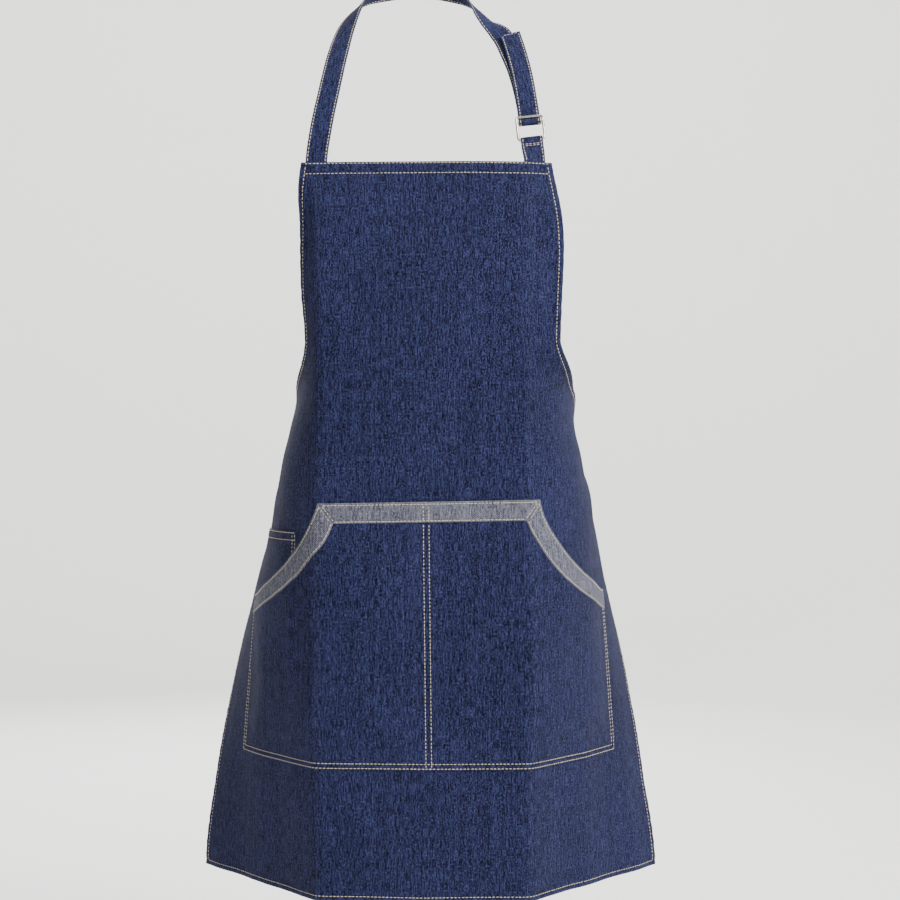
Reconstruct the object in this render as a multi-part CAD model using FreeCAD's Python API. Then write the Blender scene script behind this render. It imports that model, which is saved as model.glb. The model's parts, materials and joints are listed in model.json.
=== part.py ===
"""A denim bib apron in the shape that it takes when it is worn, in millimetres.

+X is the wearer's left (the viewer's right), -Y is the front and +Z is up. The origin is on the neck
strap's inner face at the nape, where a neck holds the apron up. Every flat piece is laid out on the
apron's own cloth: u runs across it from its centre line, v runs down it from the bib's top edge.
"""

import FreeCAD, Part
import math
import os

V = FreeCAD.Vector

# The apron's cut, laid flat
apron_length = 800.0
skirt_width = 700.0
bib_top_width = 274.0
bib_side_width = 300.0
bib_flare_height = 110.0
bib_straight_height = 190.0
armhole_height = 95.0
cloth = 1.2
cloth_gap = 0.6
layer_gap = 0.3

# The sections that every cloth layer is ruled through
column_step = 30.0
front_column_step = 35.0
crease_column_step = 3.0
side_columns_from = 140.0
side_column_step = 20.0

# The worn shape: two soft fold creases, and how far the sides turn back at each height
crease_left = 120.0
crease_right = 112.0
crease_radius = 7.0
front_crown = 5.0
turn_heights = [0.0, 60.0, 110.0, 200.0, 245.0, 290.0, 370.0, 470.0, 590.0, 700.0, 800.0]
turn_left = [2.0, 36.0, 45.0, 56.0, 55.0, 47.0, 41.0, 40.5, 42.5, 44.0, 45.5]
turn_right = [17.0, 4.0, 14.0, 22.0, 43.0, 40.0, 36.0, 39.5, 42.5, 44.5, 45.5]
side_bend = [0.0, 3.0, 7.0, 30.0, 65.0, 78.0, 68.0, 46.0, 25.0, 10.0, 0.0]
front_swell = [6.0, 1.0, 0.0, 6.0, 9.0, 11.0, 8.0, 3.0, 0.0, 0.0, 2.0]

# The kangaroo pocket
pocket_top = 369.0
pocket_top_width = 242.0
pocket_width = 558.0
pocket_side_top = 477.0
pocket_bottom = 657.0
opening_pull = (22.0, 80.0)

# For each mm of inset from a hand opening's edge: how far its start moves in and down, and its pull
start_inset = (0.75, 0.97)
pull_inset = 0.72
band_width = 22.0
band_cloth = 1.0

# The pocket is sewn on a little askew: its top is shifted across and leans, its foot is not
pocket_shift = 3.0
pocket_lean = -0.0177

# The small patch pocket under the left opening
patch_inner = 157.0
patch_outer = 272.0
patch_top = 402.0
patch_bottom = 560.0

# The neck strap, the buckle and the strap that holds it
strap_width = 24.0
strap_cloth = 1.6
strap_left_x = -121.0
strap_right_x = 118.5
strap_seam = 22.0
seam_room = 1.5
nape = (-15.0, 186.0, 232.0)
tail_length = 116.0
tail_narrowing = 1.0
bar_wire = 3.0
strap_side_room = 1.0
buckle_width = strap_width + 2 * strap_side_room + bar_wire
buckle_height = 29.0
middle_bar_drop = 7.5
buckle_corner = 2.4
buckle_rise = 29.5
strap_lean = (-0.10, 0.42, 1.0)
split_gap = 0.4
fold_end_rise = 4.6
strap_end_rise = 6.0
sewn_below_bar = 9.0
loop_opening = 1.1

# The waist ties and their bow
tie_width = 20.0
tie_cloth = 1.4
tie_level = 300.0
tie_seam = 25.0
knot_size = (24.0, 15.0, 22.0)
tie_depth = -4.5
knot_behind_corners = 27.3
knot_drop = 4.0
bow_depth = 5.5
bow_length = 80.0
bow_width = 16.0
bow_droop = 32.0
bow_spring = 8.0
tie_end_length = 230.0


def along_curve(xs, ys, x):
    """The value at x of a smooth curve through the points (xs, ys) that never overshoots them."""
    if x <= xs[0]:
        return ys[0]
    if x >= xs[-1]:
        return ys[-1]
    slopes = [(ys[i + 1] - ys[i]) / (xs[i + 1] - xs[i]) for i in range(len(xs) - 1)]
    i = max(k for k in range(len(xs) - 1) if xs[k] <= x)

    def tangent(k):
        if k == 0 or k == len(xs) - 1 or slopes[k - 1] * slopes[k] <= 0:
            return 0.0
        return 2 / (1 / slopes[k - 1] + 1 / slopes[k])

    h = xs[i + 1] - xs[i]
    t = (x - xs[i]) / h
    rise = ys[i] * (1 + 2 * t) * (1 - t) ** 2 + ys[i + 1] * t * t * (3 - 2 * t)
    return rise + h * (tangent(i) * t * (1 - t) ** 2 - tangent(i + 1) * t * t * (1 - t))


def arc_step(x, y, angle, length, turn):
    """The end of an arc in plan that starts at (x, y) in direction angle."""
    half = turn / 2
    chord = length * (math.sin(half) / half if abs(half) > 1e-9 else 1.0)
    return x + chord * math.cos(angle + half), y + chord * math.sin(angle + half), angle + turn


def on_cloth(u, v, out=0.0):
    """The place of the cloth's point (u, v), moved out of its outer face by out."""
    side = -1 if u < 0 else 1
    crease = crease_left if u < 0 else crease_right
    turns = turn_left if u < 0 else turn_right
    turn = math.radians(along_curve(turn_heights, turns, v))
    bend = math.radians(along_curve(turn_heights, side_bend, v)) / (skirt_width / 2 - crease)
    across = abs(u)
    flat = crease - crease_radius
    front = min(across, flat)
    x, y, angle = arc_step(0, 0, 0, front, math.radians(front_crown) * front / flat)
    if across > flat:
        fold = min(across - flat, 2 * crease_radius)
        x, y, angle = arc_step(x, y, angle, fold, turn * fold / (2 * crease_radius))
    if across > flat + 2 * crease_radius:
        beyond = across - flat - 2 * crease_radius
        x, y, angle = arc_step(x, y, angle, beyond, bend * beyond)
    x += out * math.sin(angle)
    y += along_curve(turn_heights, front_swell, v) - out * math.cos(angle)
    return V(side * x - nape[0], y - nape[1], -v - nape[2])


def cloth_normal(u, v):
    """The cloth's outward direction at (u, v)."""
    across = on_cloth(u + 1, v) - on_cloth(u - 1, v)
    down = on_cloth(u, v + 1) - on_cloth(u, v - 1)
    return down.cross(across).normalize()


def panel_top(u):
    """The v of the panel's upper edge at u: the bib's top, its side or the armhole."""
    top = bib_top_width / 2
    side = bib_side_width / 2
    if abs(u) <= top:
        return 0.0
    if abs(u) <= side:
        return bib_flare_height * math.asin((abs(u) - top) / (side - top)) / (math.pi / 2)
    return bib_straight_height + armhole_height * math.sqrt((abs(u) - side) / (skirt_width / 2 - side))


def bezier(a, b, c, t):
    """The value at t of a quadratic curve."""
    return a * (1 - t) ** 2 + 2 * b * t * (1 - t) + c * t * t


def opening_frame(inset):
    """The three (u, v) that shape the right hand opening's edge, or the line inset from it."""
    first = pocket_top_width / 2
    start = (first - start_inset[0] * inset, pocket_top + start_inset[1] * inset)
    pull_u = first + opening_pull[0] - pull_inset * inset
    pull_v = pocket_top + opening_pull[1] + pull_inset * inset
    return start, (pull_u, pull_v), (pocket_width / 2, pocket_side_top + inset)


def opening_v(u, inset=0.0):
    """The v of the hand opening's edge, or of the line inset from it, at u across the cloth."""
    (u0, v0), (u1, v1), (u2, v2) = opening_frame(inset)
    a, b, c = u0 - 2 * u1 + u2, 2 * (u1 - u0), u0 - u
    t = (-b + math.sqrt(max(b * b - 4 * a * c, 0.0))) / (2 * a)
    return bezier(v0, v1, v2, min(1.0, max(0.0, t)))


def mitre_v(u):
    """The v of the mitre between the top band and a curved band, at u across the cloth."""
    inner_u, inner_v = opening_frame(band_width)[0]
    outer_u = pocket_top_width / 2
    return pocket_top + (outer_u - u) * (inner_v - pocket_top) / (outer_u - inner_u)


def ruled_solid(sections):
    """The closed solid through sections of four edges each, with straight lines from each to the next."""
    same, opposite = 1, 2
    faces = []
    for first, second in zip(sections, sections[1:]):
        faces += [Part.makeRuledSurface(a, b, same) for a, b in zip(first, second)]
    for section in (sections[0], sections[-1]):
        faces.append(Part.makeRuledSurface(section[0], section[2], opposite))
    shell = Part.makeShell(faces)
    shell.sewShape()
    solid = Part.makeSolid(shell)
    if solid.Volume < 0:
        solid.reverse()
    return solid


def four_sided(corners):
    """The four straight edges round the corners."""
    return [Part.makeLine(corners[i], corners[(i + 1) % 4]) for i in range(4)]


def cloth_column(u, top, bottom, inner, outer, place):
    """The section of a cloth layer along its line u, laid by the function place."""
    steps = max(4, int((bottom - top) / column_step))
    heights = [top + (bottom - top) * i / steps for i in range(steps + 1)]
    front = Part.BSplineCurve()
    front.interpolate([place(u, v, outer) for v in heights])
    back = Part.BSplineCurve()
    back.interpolate([place(u, v, inner) for v in reversed(heights)])
    low = Part.makeLine(place(u, bottom, outer), place(u, bottom, inner))
    high = Part.makeLine(place(u, top, inner), place(u, top, outer))
    return [front.toShape(), low, back.toShape(), high]


def cloth_layer(columns, inner, outer, place=on_cloth):
    """A cloth layer over the columns (u, top, bottom), between two heights over the panel's outer face."""
    return ruled_solid([cloth_column(*column, inner, outer, place) for column in columns])


def on_pocket(u, v, out):
    """The place of the pocket's point (u, v): its top shifted and leaning, its foot as cut."""
    share = min(1.0, (pocket_bottom - v) / (pocket_bottom - pocket_top))
    return on_cloth(u + pocket_shift * share, v + pocket_lean * u * share, out)


def ribbon(stations, width, thickness):
    """A flat strap through the stations, each a centre point and the strap's outward normal there."""
    sections = []
    for i, (centre, normal) in enumerate(stations):
        before = stations[max(i - 1, 0)][0]
        after = stations[min(i + 1, len(stations) - 1)][0]
        tangent = (after - before).normalize()
        side = tangent.cross(normal).normalize()
        out = side.cross(tangent).normalize()
        half = side * (width / 2)
        proud = out * (thickness / 2)
        middle = V(centre)
        inner = [middle - half - proud, middle + half - proud]
        outer = [middle + half + proud, middle - half + proud]
        sections.append(four_sided(inner + outer))
    return ruled_solid(sections)


def worn_point(x, y, z):
    """A point given from the middle of the bib's top edge, in the part's frame."""
    return V(x - nape[0], y - nape[1], z - nape[2])


def grid_columns(first, last, side):
    """The places on one side of the centre line where every cloth layer has a section."""
    crease = crease_left if side < 0 else crease_right
    places = [0.0, front_column_step, 2 * front_column_step]
    for step in (crease_radius, crease_column_step, 0.0):
        places += [crease - step, crease + step]
    count = int((skirt_width / 2 - side_columns_from) / side_column_step) + 1
    places += [side_columns_from + side_column_step * i for i in range(count)]
    inside = [u for u in places if first + 1.0 < u < last - 1.0]
    return sorted(set([first, last] + inside))


def main_panel():
    """The bib and skirt in one cloth."""
    top = bib_top_width / 2
    side = bib_side_width / 2
    places = {0.0}
    for s in (-1, 1):
        extra = [top + (side - top) * share for share in (0.0, 0.45, 0.8, 1.0)]
        extra += [side + (skirt_width / 2 - side) * share for share in (0.03, 0.12)]
        places.update(s * u for u in grid_columns(0.0, skirt_width / 2, s) + extra)
    columns = [(u, panel_top(u), apron_length) for u in sorted(places)]
    return cloth_layer(columns, -cloth, 0.0)


# Layers over the panel, from the panel outwards
patch_layer = (cloth_gap, cloth_gap + cloth)
pocket_layer = (patch_layer[1] + cloth_gap, patch_layer[1] + cloth_gap + cloth)
band_layer = (pocket_layer[1] + cloth_gap, pocket_layer[1] + cloth_gap + band_cloth)


def opening_columns(s):
    """The places across the cloth where a piece along a hand opening has a section."""
    first, last = pocket_top_width / 2, pocket_width / 2
    return sorted(grid_columns(first, last, s) + [first + 3.5, first + 10.0, first + 30.0])


def pocket_panel():
    """The kangaroo pocket's front, with its two curved hand openings."""
    columns = {(0.0, pocket_top, pocket_bottom)}
    for s in (-1, 1):
        for u in grid_columns(0.0, pocket_top_width / 2, s):
            columns.add((s * u, pocket_top, pocket_bottom))
        for u in opening_columns(s):
            columns.add((s * u, opening_v(u), pocket_bottom))
    return cloth_layer(sorted(columns), *pocket_layer, on_pocket)


def pocket_band_top():
    """The straight band along the pocket's top, mitred at both ends."""
    inner_u, inner_v = opening_frame(band_width)[0]
    columns = {(0.0, pocket_top, inner_v)}
    for s in (-1, 1):
        for u in grid_columns(0.0, pocket_top_width / 2 - 2.0, s) + [inner_u]:
            lower = (inner_v if u < inner_u else mitre_v(u)) - cloth_gap
            columns.add((s * u, pocket_top, lower))
    return cloth_layer(sorted(columns), *band_layer, on_pocket)


def pocket_band_curved(s):
    """The curved band along one hand opening, on side s."""
    inner_u = opening_frame(band_width)[0][0] + 2.0
    columns = set()
    for u in grid_columns(inner_u, pocket_top_width / 2, s):
        columns.add((s * u, mitre_v(u), opening_v(u, band_width)))
    for u in opening_columns(s)[1:]:
        columns.add((s * u, opening_v(u), opening_v(u, band_width)))
    return cloth_layer(sorted(columns), *band_layer, on_pocket)


def side_patch_pocket():
    """The small pocket on the panel, reached through the viewer's left opening."""
    places = grid_columns(patch_inner, patch_outer, -1)
    columns = sorted((-u, patch_top, patch_bottom) for u in places)
    return cloth_layer(columns, *patch_layer)


# The buckle's own directions: up the strap, out of its front and across it
strap_up = V(*strap_lean).normalize()
forward = V(0, -1, 0)
buckle_front = (forward - strap_up * forward.dot(strap_up)).normalize()
buckle_across = strap_up.cross(buckle_front).normalize()
bar_to_panel = cloth + seam_room + strap_cloth + layer_gap / 2
lower_bar = on_cloth(strap_right_x, 0, -bar_to_panel) + strap_up * buckle_rise
upper_bar = lower_bar + strap_up * buckle_height
middle_bar = upper_bar - strap_up * middle_bar_drop
wrap_radius = bar_wire / 2 + layer_gap + strap_cloth / 2


def at_buckle(up, front, bar=None):
    """A point in the buckle's middle plane: up the strap and out of the front of one of its bars."""
    return (bar or lower_bar) + strap_up * up + buckle_front * front


def arc_stations(bar, radius, start, end, steps):
    """Strap stations round a bar, by the angle from straight up towards the front, in degrees."""
    stations = []
    for i in range(steps + 1):
        angle = math.radians(start + (end - start) * i / steps)
        outward = strap_up * math.cos(angle) + buckle_front * math.sin(angle)
        stations.append((bar + outward * radius, outward))
    return stations


def buckle_frame():
    """The ring of round wire with its middle bar."""
    across, up = buckle_width / 2, buckle_height / 2
    centre = (lower_bar + upper_bar) / 2
    corner = buckle_corner
    wire_radius = bar_wire / 2

    def place(x, y):
        return centre + buckle_across * x + strap_up * y

    edges = []
    for sx, sy in ((1, 1), (-1, 1), (-1, -1), (1, -1)):
        middle = (sx * (across - corner), sy * (up - corner))
        first = place(sx * across, middle[1])
        last = place(middle[0], sy * up)
        bulge = place(middle[0] + sx * corner * math.sqrt(0.5), middle[1] + sy * corner * math.sqrt(0.5))
        ends = (first, last) if sx * sy > 0 else (last, first)
        edges.append(Part.Arc(ends[0], bulge, ends[1]).toShape())
    straights = []
    for i, edge in enumerate(edges):
        following = edges[(i + 1) % 4]
        straights.append(Part.makeLine(edge.Vertexes[-1].Point, following.Vertexes[0].Point))
    path = Part.Wire(Part.__sortEdges__(edges + straights))
    profile = Part.Wire(Part.makeCircle(wire_radius, place(across, 0), strap_up))
    ring = path.makePipeShell([profile], True, False)
    bar = Part.makeCylinder(wire_radius, buckle_width, middle_bar - buckle_across * across, buckle_across)
    return ring.fuse(bar).removeSplitter().Solids[0]


def strap_fold():
    """The stretch of the neck strap that turns round the buckle's middle bar and rides with it."""
    crossing = math.degrees(math.asin(2 * wrap_radius / middle_bar_drop))
    behind = -wrap_radius - strap_cloth - layer_gap
    stations = [(at_buckle(up, behind, upper_bar), buckle_front * -1) for up in (strap_end_rise, 0.0)]
    stations += arc_stations(middle_bar, wrap_radius, 275, 90 - crossing, 10)
    back_round = arc_stations(upper_bar, wrap_radius, 270 - crossing, 270, 2)
    stations += [(point, normal * -1) for point, normal in back_round]
    stations.append((at_buckle(fold_end_rise, -wrap_radius, upper_bar), buckle_front))
    return ribbon(stations, strap_width, strap_cloth)


def up_the_strap(start, shares):
    """Stations up the strap from start: the share of the tail's length, then how far back and inwards."""
    stations = []
    for share, back, inward in shares:
        point = start + strap_up * (tail_length * share) + V(-inward, back, -0.2 * back)
        stations.append((point, buckle_front))
    return stations


def strap_tail():
    """The strap's free end, which lies up the front of the strap above the buckle."""
    start = at_buckle(fold_end_rise + split_gap, -wrap_radius, upper_bar)
    shares = ((0, 0, 0), (0.05, 0, 0), (0.25, 0.8, 0.5), (0.5, 4, 2), (0.75, 9.5, 5), (1, 17, 9))
    return ribbon(up_the_strap(start, shares), strap_width - tail_narrowing, strap_cloth)


def behind_bib(u, v, layers):
    """A strap station behind the bib's cloth, in the middle of the strap layer counted by layers."""
    depth = cloth + seam_room + strap_cloth / 2 + layers * (strap_cloth + layer_gap)
    normal = cloth_normal(u, max(v, 2.0))
    return on_cloth(u, v) - normal * depth, normal


# A strap's stations behind the bib, from its sewn end to just over the bib's top edge
seam_heights = (strap_seam, strap_seam / 2, -2.0)


def neck_strap():
    """The long strap, from behind the bib's left corner round the neck to the buckle."""
    route = [
        ((-116, 24, 40), (0, -1, 0.3)),
        ((-109, 45, 85), (-0.05, -1, 0.5)),
        ((-102, 78, 132), (-0.15, -1, 0.8)),
        ((-94, 112, 171), (-0.5, -0.8, 1.0)),
        ((-83, 140, 199), (-1, -0.45, 0.9)),
        ((-68, 163, 218), (-1, 0.2, 0.5)),
        ((-44, 181, 229), (-0.6, 1, 0.15)),
        ((-15, 186.8, 232), (0, 1, 0.05)),
        ((13, 180, 228), (0.6, 1, 0.15)),
        ((35, 164, 217), (1, 0.35, 0.5)),
        ((51, 144, 199), (1, -0.35, 0.9)),
        ((64, 124, 178), (0.7, -0.8, 1.0)),
    ]
    stations = [behind_bib(strap_left_x, v, 0) for v in seam_heights]
    stations += [(worn_point(*p), V(*n).normalize()) for p, n in route]
    top = at_buckle(strap_end_rise + split_gap, -wrap_radius - strap_cloth - layer_gap, upper_bar)
    shares = ((0, 0, 0), (0.05, 0, 0), (0.25, 1.2, 1.5), (0.5, 5.4, 5), (0.75, 12, 11), (1, 21, 19))
    stations += up_the_strap(top, shares)[::-1]
    return ribbon(stations, strap_width, strap_cloth)


def buckle_strap():
    """The short strap sewn behind the bib's right corner and looped round the buckle's lower bar."""
    near = [behind_bib(strap_right_x, v, 0) for v in seam_heights]
    far = [behind_bib(strap_right_x, v, 1) for v in reversed(seam_heights)]
    stations = list(near)
    stations.append((at_buckle(-sewn_below_bar, loop_opening), buckle_front))
    stations += arc_stations(lower_bar, wrap_radius, 100, -100, 8)
    stations.append((at_buckle(-sewn_below_bar, -loop_opening), buckle_front * -1))
    stations += [(place, normal * -1) for place, normal in far]
    return ribbon(stations, strap_width, strap_cloth)


# The ties are pulled towards the middle of the back, a little behind the skirt's side corners
corners = [on_cloth(s * skirt_width / 2, tie_level) for s in (-1, 1)]
knot_y = sum(corner.y for corner in corners) / 2 + knot_behind_corners
knot_centre = V(-nape[0], knot_y, -tie_level - knot_drop - nape[2])


def waist_tie(s):
    """One waist tie, from its seam on the skirt's side corner round the back to the knot."""
    stations = []
    for inset in (tie_seam, tie_seam / 2, 0.0):
        u = s * (skirt_width / 2 - inset)
        normal = cloth_normal(u, tie_level)
        stations.append((on_cloth(u, tie_level) - normal * (cloth + seam_room + tie_cloth / 2), normal))
    edge = stations[-1][0]
    leave = (edge - stations[-2][0]).normalize()
    end = knot_centre + V(s * (knot_size[0] / 2 + 1.0), tie_depth, 0)
    pull = edge + leave * ((end - edge).Length * 0.2)
    for i in range(1, 9):
        t = i / 8
        point = V(*(bezier(a, b, c, t) for a, b, c in zip(edge, pull, end)))
        tangent = (pull - edge) * (1 - t) + (end - pull) * t
        stations.append((point, tangent.cross(V(0, 0, -1)).normalize() * s))
    return ribbon(stations, tie_width, tie_cloth)


def tie_knot():
    """The bow's knot at the middle of the back."""
    x, y, z = knot_size
    block = Part.makeBox(x, y, z, knot_centre - V(x / 2, y / 2, z / 2))
    return block.makeFillet(min(knot_size) * 0.3, block.Edges).Solids[0]


def bow_loop(s):
    """One loop of the bow, out of the knot's side and back into it, drooping under its weight."""
    droop = math.radians(bow_droop)
    outward = V(s * math.cos(droop), 0, -math.sin(droop))
    face = outward.cross(V(0, 1, 0)).normalize()
    clear = knot_size[0] / 2 + layer_gap + bow_width / 2 * math.sin(droop)
    root = knot_centre + V(s * clear, bow_depth, -2)
    half = [(0.0, 1.2), (0.25, 3.0), (0.6, 8.5), (0.85, 10.0), (0.97, 6.0)]
    outline = half + [(1.0, 0.0)] + [(out, -back) for out, back in reversed(half)]
    points = [root + outward * (out * bow_length) + V(0, back + bow_spring * out, 0) for out, back in outline]
    stations = []
    for i, point in enumerate(points):
        tangent = points[min(i + 1, len(points) - 1)] - points[max(i - 1, 0)]
        stations.append((point, tangent.cross(face).normalize()))
    return ribbon(stations, bow_width, tie_cloth)


def tie_end(s):
    """One free end of the bow, hanging from the knot."""
    root = knot_centre + V(s * 1.5, 2.0 * s, -knot_size[2] / 2 - 1.0)
    route = [(0, 0, 0), (0, 0, 0.02), (0.06, 0.0, 0.15)]
    route += [(0.1, -0.01, 0.4), (0.12, 0.0, 0.7), (0.17, 0.02, 1.0)]
    stations = []
    for out, back, drop in route:
        point = root + V(s * out * tie_end_length, back * tie_end_length, -drop * tie_end_length)
        stations.append((point, V(0, 1, 0)))
    return ribbon(stations, tie_width, tie_cloth)


pieces = {
    "main_panel": main_panel(),
    "pocket_panel": pocket_panel(),
    "pocket_band_top": pocket_band_top(),
    "pocket_band_left": pocket_band_curved(-1),
    "pocket_band_right": pocket_band_curved(1),
    "side_patch_pocket": side_patch_pocket(),
    "buckle_frame": buckle_frame(),
    "strap_fold": strap_fold(),
    "strap_tail": strap_tail(),
    "neck_strap": neck_strap(),
    "buckle_strap": buckle_strap(),
    "waist_tie_left": waist_tie(-1),
    "waist_tie_right": waist_tie(1),
    "tie_knot": tie_knot(),
    "bow_loop_left": bow_loop(-1),
    "bow_loop_right": bow_loop(1),
    "tie_end_left": tie_end(-1),
    "tie_end_right": tie_end(1),
}

os.makedirs("parts", exist_ok=True)
for name, shape in pieces.items():
    shape.exportStep("parts/" + name + ".step")
    print(name, shape.ShapeType, len(shape.Solids), shape.isValid(), round(shape.Volume), "mm3")
print("buckle axis", [round(c / 1000, 5) for c in lower_bar], [round(c, 5) for c in buckle_across])
print("tail axis", [round(c / 1000, 5) for c in upper_bar])
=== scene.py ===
"""A denim bib apron in its worn shape: the looks of each piece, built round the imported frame.

Lengths are in metres. A flat piece is laid out on the apron's own cloth: u runs across it from its
centre line, v runs down it from the bib's top edge. +X is the viewer's right and -Y is the front.
"""

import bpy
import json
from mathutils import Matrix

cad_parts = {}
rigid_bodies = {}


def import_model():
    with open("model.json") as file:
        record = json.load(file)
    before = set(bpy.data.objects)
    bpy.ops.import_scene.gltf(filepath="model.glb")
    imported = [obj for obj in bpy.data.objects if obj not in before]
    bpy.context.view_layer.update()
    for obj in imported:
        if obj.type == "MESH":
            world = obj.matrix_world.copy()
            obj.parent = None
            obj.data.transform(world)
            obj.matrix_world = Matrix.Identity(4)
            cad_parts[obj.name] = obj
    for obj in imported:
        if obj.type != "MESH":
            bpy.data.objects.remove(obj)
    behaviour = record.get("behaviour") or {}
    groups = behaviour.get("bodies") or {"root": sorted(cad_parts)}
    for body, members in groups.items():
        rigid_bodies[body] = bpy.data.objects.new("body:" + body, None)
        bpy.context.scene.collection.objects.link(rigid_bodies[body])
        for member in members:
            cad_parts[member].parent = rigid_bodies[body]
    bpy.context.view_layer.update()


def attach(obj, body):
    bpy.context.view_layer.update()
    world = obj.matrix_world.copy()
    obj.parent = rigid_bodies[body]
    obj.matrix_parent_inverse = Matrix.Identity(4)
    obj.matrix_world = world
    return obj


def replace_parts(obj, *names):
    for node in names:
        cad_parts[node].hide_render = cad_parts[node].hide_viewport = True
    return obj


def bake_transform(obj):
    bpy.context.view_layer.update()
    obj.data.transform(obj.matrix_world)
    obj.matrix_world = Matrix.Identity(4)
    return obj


bl_info = {
    "name": "Denim Bib Apron",
    "version": (1, 0, 0),
    "blender": (4, 5, 0),
    "location": "View3D > Sidebar > Apron",
    "description": "Builds a worn denim bib apron, piece by piece, round its packed frame",
    "category": "Object",
}

import copy
import json
import math

import bpy
import mathutils
import numpy as np

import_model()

MM = 0.001
UP = np.array([0.0, 0.0, 1.0])

# The worn shape: two soft fold creases, and how far the sides turn back at each height
CREASE_LEFT = 0.120
CREASE_RIGHT = 0.112
CREASE_RADIUS = 0.007
FRONT_CROWN = math.radians(5.0)
HEIGHTS = [0.0, 0.060, 0.110, 0.200, 0.245, 0.290, 0.370, 0.470, 0.590, 0.700, 0.800]
TURN_LEFT = [2.0, 36.0, 45.0, 56.0, 55.0, 47.0, 41.0, 40.5, 42.5, 44.0, 45.5]
TURN_RIGHT = [17.0, 4.0, 14.0, 22.0, 43.0, 40.0, 36.0, 39.5, 42.5, 44.5, 45.5]
SIDE_BEND = [0.0, 3.0, 7.0, 30.0, 65.0, 78.0, 68.0, 46.0, 25.0, 10.0, 0.0]
FRONT_SWELL = [0.006, 0.001, 0.0, 0.006, 0.009, 0.011, 0.008, 0.003, 0.0, 0.0, 0.002]

# The cut
BIB_TOP_HALF = 0.137
BIB_SIDE_HALF = 0.150
BIB_FLARE_HEIGHT = 0.110
BIB_STRAIGHT_HEIGHT = 0.190
ARMHOLE_HEIGHT = 0.095
SKIRT_HALF = 0.350
LENGTH = 0.800
NAPE = np.array([-0.015, 0.186, 0.232])
CLOTH = 0.0010

# Hems and topstitching
EDGE_ROW = 0.0055
BIB_HEM_ROWS = (0.0016, 0.0125)
HEM_DEPTH = 0.009
BIB_HEM_DEPTH = 0.014
GROOVE_WIDTH = 0.0011
GROOVE_DEPTH = 0.00035

# The kangaroo pocket and its bands
POCKET_TOP = 0.369
POCKET_TOP_HALF = 0.121
POCKET_HALF = 0.279
POCKET_SIDE_TOP = 0.477
POCKET_BOTTOM = 0.657
OPENING_PULL = (0.022, 0.080)
BAND_WIDTH = 0.022
POCKET_LIFT = 0.0045
SEAM_ROWS = (0.0015, 0.0066)
CENTRE_ROW = 0.003
POCKET_SHIFT = 0.003
POCKET_LEAN = -0.0177

# For each metre that a line is inset from a hand opening's edge: how far its start moves in and down,
# and how far its pull moves both ways
START_INSET = (0.75, 0.97)
PULL_INSET = 0.72
BAND_ROWS = (0.0016, BAND_WIDTH - 0.0018)

# The side patch pocket
PATCH_INNER = 0.157
PATCH_OUTER = 0.272
PATCH_TOP = 0.402
PATCH_BOTTOM = 0.560
PATCH_TOP_ROWS = (0.0015, 0.0095)
PATCH_SIDE_ROWS = (0.0015, 0.0075)

# Straps, buckle and ties
STRAP_WIDTH = 0.024
STRAP_CLOTH = 0.0016
STRAP_ROW = 0.0022
STRAP_LEFT = -0.121
STRAP_RIGHT = 0.1185
STRAP_SEAM = 0.022
SEAM_ROOM = 0.0015
LAYER_GAP = 0.0003
TAIL_LENGTH = 0.116
WIRE = 0.003
BUCKLE_WIDTH = 0.029
BUCKLE_HEIGHT = 0.029
BUCKLE_CORNER = 0.0028
MIDDLE_BAR_DROP = 0.0075
BUCKLE_RISE = 0.0295
STRAP_LEAN = np.array([-0.10, 0.42, 1.0])
TAIL_NARROWING = 0.001
CAD_CLOTH = 0.0012
TIE_WIDTH = 0.020
TIE_CLOTH = 0.0014
TIE_LEVEL = 0.300
TIE_SEAM = 0.025
TIE_DEPTH = -0.0045
BOW_DEPTH = 0.0055
BOW_LENGTH = 0.080
BOW_WIDTH = 0.016
BOW_DROOP = math.radians(32.0)
BOW_SPRING = 0.008
TIE_END_LENGTH = 0.230
KNOT_SIZE = (0.024, 0.015, 0.022)

# The knot's place in mm: behind the bib's top edge and below the waist ties' level
KNOT_BACK = 259.0
KNOT_DROP = 4.0


# The stage: a round floor that bends up into a backdrop
FLOOR_LEVEL = -1.30
FLOOR_RADIUS = 3.6
BACKDROP_HEIGHT = 3.4


# ---------------------------------------------------------------- shape of the worn cloth


def along_curve(ys, x):
    """The values at x of a smooth curve through ys at HEIGHTS that never overshoots them."""
    xs, ys = np.array(HEIGHTS), np.array(ys)
    x = np.clip(x, xs[0], xs[-1])
    widths = np.diff(xs)
    slopes = np.diff(ys) / widths
    tangents = np.zeros(len(xs))
    for k in range(1, len(xs) - 1):
        if slopes[k - 1] * slopes[k] > 0:
            tangents[k] = 2 / (1 / slopes[k - 1] + 1 / slopes[k])
    i = np.clip(np.searchsorted(xs, x, side="right") - 1, 0, len(widths) - 1)
    h = widths[i]
    t = (x - xs[i]) / h
    rise = ys[i] * (1 + 2 * t) * (1 - t) ** 2 + ys[i + 1] * t * t * (3 - 2 * t)
    return rise + h * (tangents[i] * t * (1 - t) ** 2 - tangents[i + 1] * t * t * (1 - t))


def arc_step(x, y, angle, length, turn):
    """The end of an arc in plan that starts at (x, y) in direction angle."""
    half = turn / 2
    chord = length * np.sinc(half / np.pi)
    return x + chord * np.cos(angle + half), y + chord * np.sin(angle + half), angle + turn


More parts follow.
